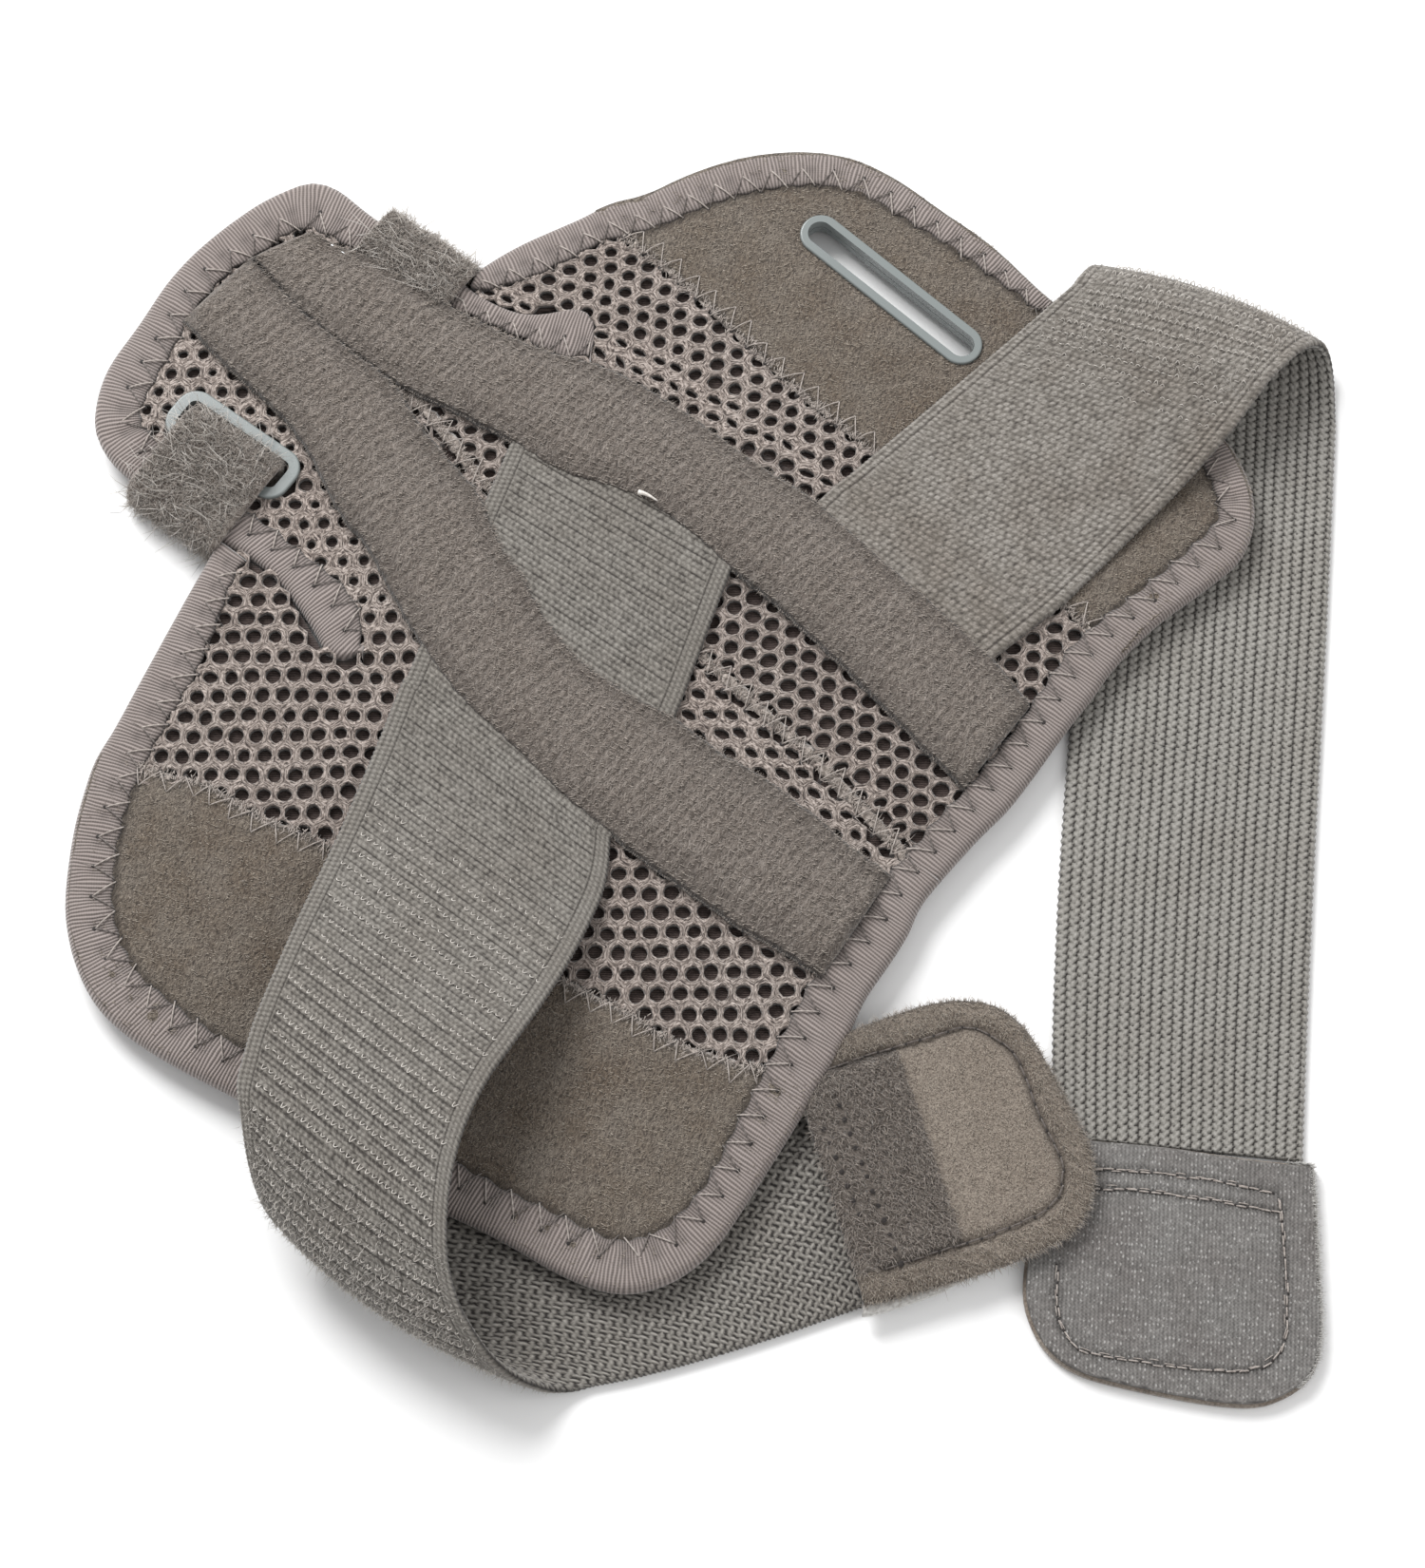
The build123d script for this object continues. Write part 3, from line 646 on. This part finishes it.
TAB_2_HOOK = [[
    (-85.36,-83.33), (-83.57,-84.97), (-81.35,-86.96), (-79.07,-88.89), (-76.75,-90.78),
    (-74.41,-92.65), (-72.07,-94.52), (-69.73,-96.38), (-67.36,-98.19), (-64.95,-99.96),
    (-62.51,-101.67), (-60.02,-103.31), (-57.49,-104.89), (-54.93,-106.38), (-52.29,-107.62),
    (-49.54,-108.36), (-46.70,-108.30), (-43.89,-107.65), (-41.20,-106.57), (-38.76,-105.00),
    (-36.49,-103.16), (-34.50,-101.05), (-32.88,-98.62), (-31.47,-96.01), (-30.03,-93.37),
    (-28.54,-90.77), (-27.05,-88.17), (-25.60,-85.56), (-24.20,-82.92), (-22.91,-80.27),
    (-21.91,-77.53), (-21.40,-74.69), (-21.43,-71.82), (-22.10,-69.03), (-23.29,-66.40),
    (-24.86,-63.95), (-26.79,-61.77), (-28.97,-59.78), (-31.25,-57.88), (-33.62,-56.08),
    (-36.04,-54.34), (-38.51,-52.66), (-40.79,-51.16),
], (-51.94,-54.03), [
    (-62.46,-54.96), (-68.73,-62.78), (-76.53,-72.38), (-85.36,-83.33),
]]
# loop side of each tab
TAB_1_OUTLINE = [[
    (-36.53,-93.06), (-33.64,-98.24), (-30.72,-103.40), (-27.77,-108.54), (-24.91,-113.73),
    (-22.27,-119.05), (-19.78,-124.43), (-17.12,-129.72), (-14.28,-134.92),
    (-11.40,-140.11),
], [
    (-11.40,-140.11), (-13.81,-141.87), (-16.21,-143.62), (-18.63,-145.37),
    (-21.05,-147.10), (-23.50,-148.82), (-25.94,-150.52), (-28.40,-152.21),
    (-30.85,-153.90), (-33.30,-155.61), (-35.75,-157.30), (-38.26,-158.91),
    (-40.85,-160.37), (-43.58,-161.56), (-46.49,-162.18), (-49.45,-162.00),
    (-52.28,-161.06), (-54.89,-159.63), (-57.30,-157.89), (-59.29,-155.68),
    (-60.94,-153.20), (-62.41,-150.61), (-63.77,-147.95), (-65.05,-145.26),
    (-66.27,-142.54), (-67.45,-139.80), (-68.60,-137.05), (-69.72,-134.29),
    (-70.81,-131.51), (-71.84,-128.72), (-72.69,-125.86), (-73.19,-122.93),
    (-73.20,-119.95), (-72.67,-117.02), (-71.58,-114.25), (-70.03,-111.71),
    (-68.21,-109.35), (-65.99,-107.37), (-63.49,-105.75), (-60.87,-104.33),
    (-58.22,-102.96), (-55.56,-101.62), (-52.88,-100.31), (-50.19,-99.03), (-47.48,-97.78),
    (-44.75,-96.58), (-42.01,-95.40), (-39.27,-94.24), (-36.53,-93.06),
]]
TAB_2_OUTLINE = [[
    (-86.18,-83.39), (-83.97,-85.42), (-81.74,-87.42), (-79.45,-89.35), (-77.13,-91.24),
    (-74.79,-93.12), (-72.45,-94.99), (-70.09,-96.85), (-67.72,-98.67), (-65.30,-100.44),
    (-62.84,-102.17), (-60.34,-103.82), (-57.80,-105.41), (-55.21,-106.91), (-52.50,-108.18),
    (-49.61,-108.96), (-46.62,-108.90), (-43.71,-108.23), (-40.93,-107.11), (-38.41,-105.49),
    (-36.08,-103.60), (-34.03,-101.43), (-32.37,-98.93), (-30.94,-96.30), (-29.50,-93.67),
    (-28.02,-91.06), (-26.53,-88.46), (-25.07,-85.84), (-23.66,-83.20), (-22.35,-80.50),
    (-21.33,-77.69), (-20.80,-74.74), (-20.83,-71.75), (-21.52,-68.84), (-22.76,-66.11),
    (-24.38,-63.59), (-26.36,-61.34), (-28.57,-59.32), (-30.88,-57.41), (-33.26,-55.59),
    (-35.70,-53.85), (-38.18,-52.16), (-40.68,-50.51),
], (-52.04,-53.44), [
    (-62.77,-54.38), (-69.20,-62.41), (-77.00,-72.00), (-86.18,-83.39),
]]

# ---- strap stations ----
# Columns: centre x y z, width direction x y z, run direction x y z, width.
# strap 1, from the fold line over the right wing and round its loop
STRAP_1_STATIONS = [
    (54.92, -7.53, 7.50, 0.0476, -0.9989, 0, 0.9989, 0.0476, 0, 53.08),
    (64.50, -9.87, 7.50, 0.0523, -0.9986, 0.0011, 0.9986, 0.0523, 0.0065, 52.39),
    (75.66, -12.14, 7.65, 0.0552, -0.9985, 0.0044, 0.9981, 0.0553, 0.0264, 51.72),
    (86.82, -14.42, 8.11, 0.0575, -0.9982, 0.0145, 0.9959, 0.0584, 0.0695, 51.10),
    (97.92, -16.66, 9.26, 0.0604, -0.9977, 0.0306, 0.9897, 0.0639, 0.1282, 50.15),
    (108.94, -18.71, 11.10, 0.0634, -0.9964, 0.0568, 0.9852, 0.0715, 0.1556, 48.69),
    (120.00, -20.39, 13.00, 0.0690, -0.9943, 0.0815, 0.9849, 0.0809, 0.1529, 46.61),
    (123.05, -20.62, 12.79, 0.1088, -0.9909, 0.0791, 0.9838, 0.0959, -0.1514, 47.24),
    (125.91, -20.89, 12.19, 0.1451, -0.9866, 0.0740, 0.9462, 0.1165, -0.3018, 47.93),
    (128.42, -21.24, 11.24, 0.1760, -0.9821, 0.0666, 0.8724, 0.1243, -0.4726, 48.68),
    (130.42, -21.71, 9.99, 0.2000, -0.9781, 0.0576, 0.7343, 0.1107, -0.6697, 49.47),
    (131.80, -22.32, 8.53, 0.2162, -0.9752, 0.0476, 0.4820, 0.0642, -0.8738, 50.27),
    (132.48, -23.08, 6.97, 0.2241, -0.9738, 0.0372, 0.0850, -0.0185, -0.9962, 51.07),
    (132.44, -24.01, 5.42, 0.2240, -0.9742, 0.0272, -0.3491, -0.1062, -0.9310, 51.86),
    (131.71, -25.09, 3.96, 0.2165, -0.9761, 0.0180, -0.6605, -0.1600, -0.7336, 52.64),
    (130.36, -26.32, 2.71, 0.2025, -0.9792, 0.0104, -0.8359, -0.1784, -0.5190, 53.42),
    (128.50, -27.66, 1.76, 0.1836, -0.9830, 0.0047, -0.9283, -0.1750, -0.3282, 54.21),
    (126.28, -29.08, 1.16, 0.1615, -0.9869, 0.0012, -0.9743, -0.1596, -0.1590, 55.02),
    (124.17, -30.36, 0.97, 0.1380, -0.9904, 0, -0.9873, -0.1376, -0.0792, 55.87),
]
# strap 2, the same way over the left wing
STRAP_2_STATIONS = [
    (-35.04, 39.67, 7.50, -0.0694, -0.9976, 0, -0.9976, 0.0694, 0, 54.42),
    (-45.56, 35.12, 8.50, -0.0426, -0.9990, 0.0126, -0.9889, 0.0439, 0.1419, 56.65),
    (-56.66, 32.05, 10.68, -0.0309, -0.9988, 0.0381, -0.9756, 0.0384, 0.2162, 56.15),
    (-67.67, 29.45, 13.61, -0.0177, -0.9971, 0.0737, -0.9668, 0.0359, 0.2531, 55.01),
    (-78.71, 27.35, 16.83, -0.0045, -0.9941, 0.1081, -0.9671, 0.0318, 0.2522, 53.53),
    (-89.84, 25.47, 19.89, 0.0030, -0.9916, 0.1295, -0.9762, 0.0252, 0.2154, 51.39),
    (-101.02, 23.08, 22.39, 0.0032, -0.9926, 0.1211, -0.9882, 0.0154, 0.1522, 49.46),
    (-112.05, 19.53, 24.09, 0.0087, -0.9959, 0.0902, -0.9960, -0.0006, 0.0891, 49.13),
    (-122.66, 14.63, 25.10, 0.0176, -0.9980, 0.0611, -0.9976, -0.0134, 0.0674, 49.07),
    (-126.29, 10.40, 24.69, 0.0204, -0.9981, 0.0582, -0.9599, -0.0358, -0.2779, 50.68),
    (-129.71, 6.26, 23.48, 0.0226, -0.9983, 0.0536, -0.8800, -0.0453, -0.4727, 52.23),
    (-132.71, 2.32, 21.56, 0.0238, -0.9986, 0.0477, -0.7592, -0.0491, -0.6490, 53.68),
    (-135.11, -1.34, 19.06, 0.0236, -0.9989, 0.0409, -0.5970, -0.0469, -0.8009, 55.00),
    (-136.79, -4.67, 16.15, 0.0219, -0.9992, 0.0336, -0.3937, -0.0395, -0.9184, 56.15),
    (-137.66, -7.62, 13.02, 0.0185, -0.9995, 0.0263, -0.1532, -0.0288, -0.9878, 57.11),
    (-137.68, -10.18, 9.90, 0.0136, -0.9997, 0.0192, 0.1127, -0.0176, -0.9935, 57.89),
    (-136.90, -12.37, 6.99, 0.0070, -0.9999, 0.0128, 0.3834, -0.0091, -0.9235, 58.49),
    (-135.39, -14.22, 4.49, -0.0009, -1.0000, 0.0075, 0.6315, -0.0063, -0.7754, 58.93),
    (-133.28, -15.79, 2.57, -0.0100, -0.9999, 0.0034, 0.8296, -0.0101, -0.5582, 59.24),
    (-130.76, -17.17, 1.36, -0.0198, -0.9998, 0.0009, 0.9564, -0.0192, -0.2913, 59.46),
    (-128.34, -18.30, 1.00, -0.0301, -0.9995, 0, 0.9888, -0.0298, -0.1464, 59.64),
]
# palm strap: round the right edge, under the palm end, round the left edge and down
# through its ring. Columns: centre x y z, run direction x z.
PALM_STATIONS = [
    (44.16, 121.13, 7.78, 0.9997, 0), (46.16, 120.94, 7.78, 0.9997, 0),
    (49.15, 120.80, 7.78, 0.9914, -0.1280), (50.65, 120.76, 7.20, 0.7740, -0.6329),
    (51.45, 120.74, 5.90, 0.3161, -0.9487), (51.65, 120.73, 4.20, 0, -1),
    (51.45, 120.74, 2.50, -0.3115, -0.9502), (50.65, 120.76, 1.15, -0.7806, -0.6247),
    (49.15, 120.80, 0.66, -0.9968, -0.0752), (44.16, 121.13, 0.66, -0.9997, 0),
    (29.19, 122.53, 0.66, -0.9997, 0), (9.24, 124.39, 0.66, -0.9997, 0),
    (-10.72, 126.26, 0.66, -0.9997, 0), (-26.80, 127.76, 0.66, -0.9997, 0),
    (-28.40, 127.80, 0.66, -0.9857, 0.1666), (-29.70, 127.84, 1.15, -0.7519, 0.6590),
    (-30.50, 127.86, 2.50, -0.3115, 0.9502), (-30.70, 127.86, 4.20, 0, 1),
    (-30.50, 127.86, 5.90, 0.3161, 0.9487), (-29.70, 127.84, 7.20, 0.7740, 0.6329),
    (-28.20, 127.80, 7.78, 0.9888, 0.1471), (-25.80, 127.74, 7.78, 0.9990, 0.0356),
    (-19.23, 127.56, 8.10, 0.9982, 0.0538), (-15.23, 127.46, 8.35, 0.9996, 0.0076),
    (-12.63, 127.39, 8.15, 0.9495, -0.3127), (-11.13, 127.35, 7.00, 0.5475, -0.8367),
    (-10.83, 127.34, 5.40, 0.0468, -0.9989), (-10.98, 127.35, 3.80, -0.3362, -0.9417),
    (-11.83, 127.37, 2.60, -0.7942, -0.6073), (-13.23, 127.41, 2.08, -0.9873, -0.1568),
    (-15.23, 127.46, 2.06, -0.9996, -0.0100),
]


def draw(outline):
    """Draw a closed outline into the open BuildLine."""
    runs = [item if isinstance(item, list) else [item] for item in outline]
    for run, following in zip(runs, runs[1:] + runs[:1]):
        if len(run) > 1:
            Spline(*run)
        if run[-1] != following[0]:
            Line(run[-1], following[0])


def slab(outline, base, height, without=None, within=None, recesses=(), holes=(), splits=()):
    """Extrude an outline, less `without` and kept inside `within`.

    recesses: (outline, base, height) to cut; holes: (plane, shape, height) to cut;
    splits: (plane, side to keep).
    """
    with BuildPart() as piece:
        with BuildSketch(Plane.XY.offset(base)):
            with BuildLine():
                draw(outline)
            make_face()
            if without:
                with BuildLine():
                    draw(without)
                make_face(mode=Mode.SUBTRACT)
            if within:
                with BuildLine():
                    draw(within)
                make_face(mode=Mode.INTERSECT)
        extrude(amount=height)
        for recess, recess_base, recess_height in recesses:
            with BuildSketch(Plane.XY.offset(recess_base)):
                with BuildLine():
                    draw(recess)
                make_face()
            extrude(amount=recess_height, mode=Mode.SUBTRACT)
        for plane, shape, hole_height in holes:
            with BuildSketch(plane):
                shape()
            extrude(amount=hole_height, mode=Mode.SUBTRACT)
        for plane, side in splits:
            split(bisect_by=plane, keep=side)
    return piece.part


def binding(outline, slot, notches=(), **options):
    """Edge tape, hollowed where it folds round the layers."""
    recesses = [(slot, PANEL_Z - TAPE_CLEAR, PANEL_TOP - PANEL_Z + 2 * TAPE_CLEAR)]
    recesses += [(notch, PANEL_TOP, POCKET_NOTCH) for notch in notches]
    return slab(outline, TAPE_Z0, TAPE_Z1 - TAPE_Z0, recesses=recesses, **options)


def pocket(outline, cavity, roots):
    """Brushed tape bridging a stay and the strap roots."""
    recesses = [(cavity, POCKET_Z0, POCKET_H - POCKET_ROOF)]
    recesses += [(root, POCKET_Z0, STRAP_T + ROOT_CLEAR) for root in roots]
    return slab(outline, POCKET_Z0, POCKET_H, recesses=recesses)


def ring_front(plane, frame, neck, slot):
    """Frame on top of the panel, with a neck down into its hole."""
    with BuildPart() as piece:
        with BuildSketch(plane.offset(PANEL_TOP + RING_CLEAR)):
            frame()
        extrude(amount=RING_FLANGE)
        fillet(faces().sort_by(Axis.Z)[-1].outer_wire().edges(), radius=RING_EDGE_R)
        with BuildSketch(plane.offset(PANEL_TOP + RING_CLEAR)):
            neck()
        extrude(amount=-FRONT_NECK)
        with BuildSketch(plane.offset(PANEL_TOP - FRONT_SLOT_DROP)):
            slot()
        extrude(amount=SLOT_CUT, mode=Mode.SUBTRACT)
    return piece.part


def ring_back(plane, frame, neck, slot, flange):
    """Frame under the panel, with a neck up into its hole."""
    with BuildPart() as piece:
        with BuildSketch(plane.offset(PANEL_Z - RING_CLEAR)):
            frame()
        extrude(amount=-flange)
        with BuildSketch(plane.offset(PANEL_Z - RING_CLEAR)):
            neck()
        extrude(amount=BACK_NECK)
        with BuildSketch(plane.offset(PANEL_Z - BACK_SLOT_DROP)):
            slot()
        extrude(amount=SLOT_CUT, mode=Mode.SUBTRACT)
    return piece.part


def strap(stations, thickness):
    """Loft a flat strap through its stations."""
    with BuildPart() as piece:
        for row in stations:
            with BuildSketch(Plane(origin=row[:3], x_dir=row[3:6], z_dir=row[6:9])):
                Rectangle(row[9], thickness)
        loft(ruled=True)
    return piece.part


def palm_strap():
    run_x, run_y = PALM_RUN
    stations = [(x, y, z, -run_y, run_x, 0, along, along * run_y / run_x, up, PALM_STRAP_W)
                for x, y, z, along, up in PALM_STATIONS]
    return strap(stations, PALM_STRAP_T)


def palm_strap_hook():
    """Hook patch sewn to the end of the palm strap."""
    with BuildPart() as piece:
        with BuildSketch(Plane(origin=PALM_HOOK_ORIGIN, x_dir=(*PALM_RUN, 0), z_dir=(0, 0, 1))):
            Rectangle(PALM_HOOK_L, PALM_HOOK_W, align=(Align.MIN, Align.CENTER))
        extrude(amount=PALM_STRAP_T)
        fillet(edges().filter_by(Axis.Z).group_by(Axis.X)[0], radius=PALM_HOOK_R)
    return piece.part


def upright_plane(point, out, shift):
    """Upright plane facing `out`, moved `shift` that way from a point."""
    return Plane(origin=(point[0] + out[0] * shift, point[1] + out[1] * shift, 0),
                 x_dir=(0, 0, 1), z_dir=(*out, 0))


def strap_space(corner, sign):
    """Hole for the palm strap at one edge, running inward from its outer end."""
    plane = Plane(origin=(*corner, 0), x_dir=(sign * PALM_RUN[0], sign * PALM_RUN[1], 0),
                  z_dir=(0, 0, 1))
    return plane, lambda: Rectangle(STRAP_SPACE_L, STRAP_SPACE_W,
                                    align=(Align.MIN, Align.CENTER)), STRAP_SPACE_H


def right_slot(extra=0):
    return lambda: SlotOverall(SLOT_LEN + extra, SLOT_W + extra)


def palm_slot(extra, radius):
    return lambda: RectangleRounded(PALM_SLOT_LEN + extra, PALM_SLOT_W + extra, radius)


right_plane = Plane(origin=(*RIGHT_RING, 0)).rotated((0, 0, RIGHT_RING_ANGLE))
palm_plane = Plane(origin=(*PALM_RING, 0)).rotated((0, 0, PALM_RING_ANGLE))


def right_hole(base, height):
    return right_plane.offset(base), right_slot(HOLE_EXTRA), height


def palm_hole(base, height):
    return palm_plane.offset(base), palm_slot(PALM_HOLE_EXTRA, PALM_HOLE_R), height


right_ring = (right_plane, lambda: SlotOverall(RING_LEN, RING_W),
              right_slot(NECK_EXTRA), right_slot())
palm_ring = (palm_plane, lambda: RectangleRounded(PALM_RING_LEN, PALM_RING_W, PALM_RING_R),
             palm_slot(PALM_NECK_EXTRA, PALM_NECK_R), palm_slot(0, PALM_SLOT_R))
right_space = strap_space(STRAP_SPACE_RIGHT, 1)
left_space = strap_space(STRAP_SPACE_LEFT, -1)
pocket_notches = (RIGHT_POCKET_CLEAR, LEFT_POCKET_CLEAR)

# the centre side and the wing side of each fold, and the two sides of the tab 1 bend
centre_sides = [(upright_plane(RIGHT_FOLD, RIGHT_OUT, -FOLD_CUT), Keep.BOTTOM),
                (upright_plane(LEFT_FOLD, LEFT_OUT, -FOLD_CUT), Keep.BOTTOM)]
right_side = [(upright_plane(RIGHT_FOLD, RIGHT_OUT, FOLD_CUT), Keep.TOP)]
left_side = [(upright_plane(LEFT_FOLD, LEFT_OUT, FOLD_CUT), Keep.TOP)]
tab_base = [(upright_plane(TAB_1_BEND, TAB_1_OUT, -TAB_CUT), Keep.BOTTOM)]
tab_end = [(upright_plane(TAB_1_BEND, TAB_1_OUT, TAB_CUT), Keep.TOP)]
tab_1_loop = (TAB_1_OUTLINE, 0, TAB_LOOP_T)
tab_1_hook = (TAB_1_HOOK, TAB_LOOP_T + TAB_GAP, TAB_HOOK_T)

pieces = {
    # centre panel: lining under two mesh halves that meet on the centre seam
    "center_lining": slab(CENTRE_OUTLINE, *LINING, holes=[palm_hole(*LINING)]),
    "center_mesh_right": slab(CENTRE_OUTLINE, *MESH, within=HALF_RIGHT),
    "center_mesh_left": slab(CENTRE_OUTLINE, *MESH, within=HALF_LEFT,
                             holes=[palm_hole(*MESH)]),
    "palm_binding": binding(PALM_BINDING, CENTRE_SLOT, pocket_notches),
    "wide_binding": binding(WIDE_BINDING, CENTRE_SLOT, pocket_notches, splits=centre_sides),
    # stays in their pockets
    "stay_pocket_right": pocket(RIGHT_POCKET, RIGHT_CAVITY, [STRAP_1_CLEAR, STRAP_2_CLEAR]),
    "stay_pocket_left": pocket(LEFT_POCKET, LEFT_CAVITY, [STRAP_2_CLEAR]),
    "stay_right": slab(RIGHT_STAY, STAY_Z, STAY_T),
    "stay_left": slab(LEFT_STAY, STAY_Z, STAY_T),
    # palm ring and strap
    "palm_ring_front": ring_front(*palm_ring),
    "palm_ring_back": ring_back(*palm_ring, flange=PALM_BACK_FLANGE),
    "palm_strap": palm_strap(),
    "palm_strap_hook": palm_strap_hook(),
    # right wing: lining, mesh inboard, brushed patch outboard
    "right_wing_lining": slab(RIGHT_WING_OUTLINE, *LINING, without=PALM_KEEPOUT,
                              holes=[right_hole(*LINING), right_space]),
    "right_wing_mesh": slab(RIGHT_WING_OUTLINE, *MESH, without=PALM_KEEPOUT,
                            within=RIGHT_MESH_SIDE, holes=[right_space]),
    "right_wing_patch": slab(RIGHT_WING_OUTLINE, *MESH, within=RIGHT_PATCH_SIDE,
                             holes=[right_hole(*MESH)]),
    "right_wing_binding": binding(RIGHT_BINDING, RIGHT_WING_SLOT, without=PALM_KEEPOUT,
                                  holes=[right_space], splits=right_side),
    "right_ring_front": ring_front(*right_ring),
    "right_ring_back": ring_back(*right_ring, flange=RING_BACK_FLANGE),
    # left wing, without a slot ring
    "left_wing_lining": slab(LEFT_WING_OUTLINE, *LINING, without=PALM_KEEPOUT,
                             holes=[left_space]),
    "left_wing_mesh": slab(LEFT_WING_OUTLINE, *MESH, without=PALM_KEEPOUT,
                           within=LEFT_MESH_SIDE, holes=[left_space]),
    "left_wing_patch": slab(LEFT_WING_OUTLINE, *MESH, within=LEFT_PATCH_SIDE),
    "left_wing_binding": binding(LEFT_BINDING, LEFT_WING_SLOT, without=PALM_KEEPOUT,
                                 holes=[left_space], splits=left_side),
    # elastic straps
    "strap_1_root": slab(STRAP_1_ROOT, STRAP_Z, STRAP_T),
    "strap_2_root": slab(STRAP_2_ROOT, STRAP_Z, STRAP_T),
    "strap_1_upper": strap(STRAP_1_STATIONS, STRAP_T),
    "strap_2_upper": strap(STRAP_2_STATIONS, STRAP_T),
    "strap_1_lower": slab(STRAP_1_LOWER, 0, STRAP_T, without=TAB_1_OUTLINE),
    "strap_2_lower": slab(STRAP_2_LOWER, 0, STRAP_T),
    "strap_2_end": slab(STRAP_2_END, 0, STRAP_T),
    # hook and loop tabs; tab 1 is split at its bend
    "tab_1_loop_base": slab(*tab_1_loop, splits=tab_base),
    "tab_1_loop_end": slab(*tab_1_loop, splits=tab_end),
    "tab_1_hook_base": slab(*tab_1_hook, splits=tab_base),
    "tab_1_hook_end": slab(*tab_1_hook, splits=tab_end),
    "tab_2_hook": slab(TAB_2_HOOK, TAB_2_Z, TAB_HOOK_T),
    "tab_2_loop": slab(TAB_2_OUTLINE, TAB_2_Z + TAB_HOOK_T + TAB_GAP, TAB_LOOP_T),
}

# one file per piece
os.makedirs("parts", exist_ok=True)
for name, part in pieces.items():
    part.label = name
    export_step(part, "parts/" + name + ".step")
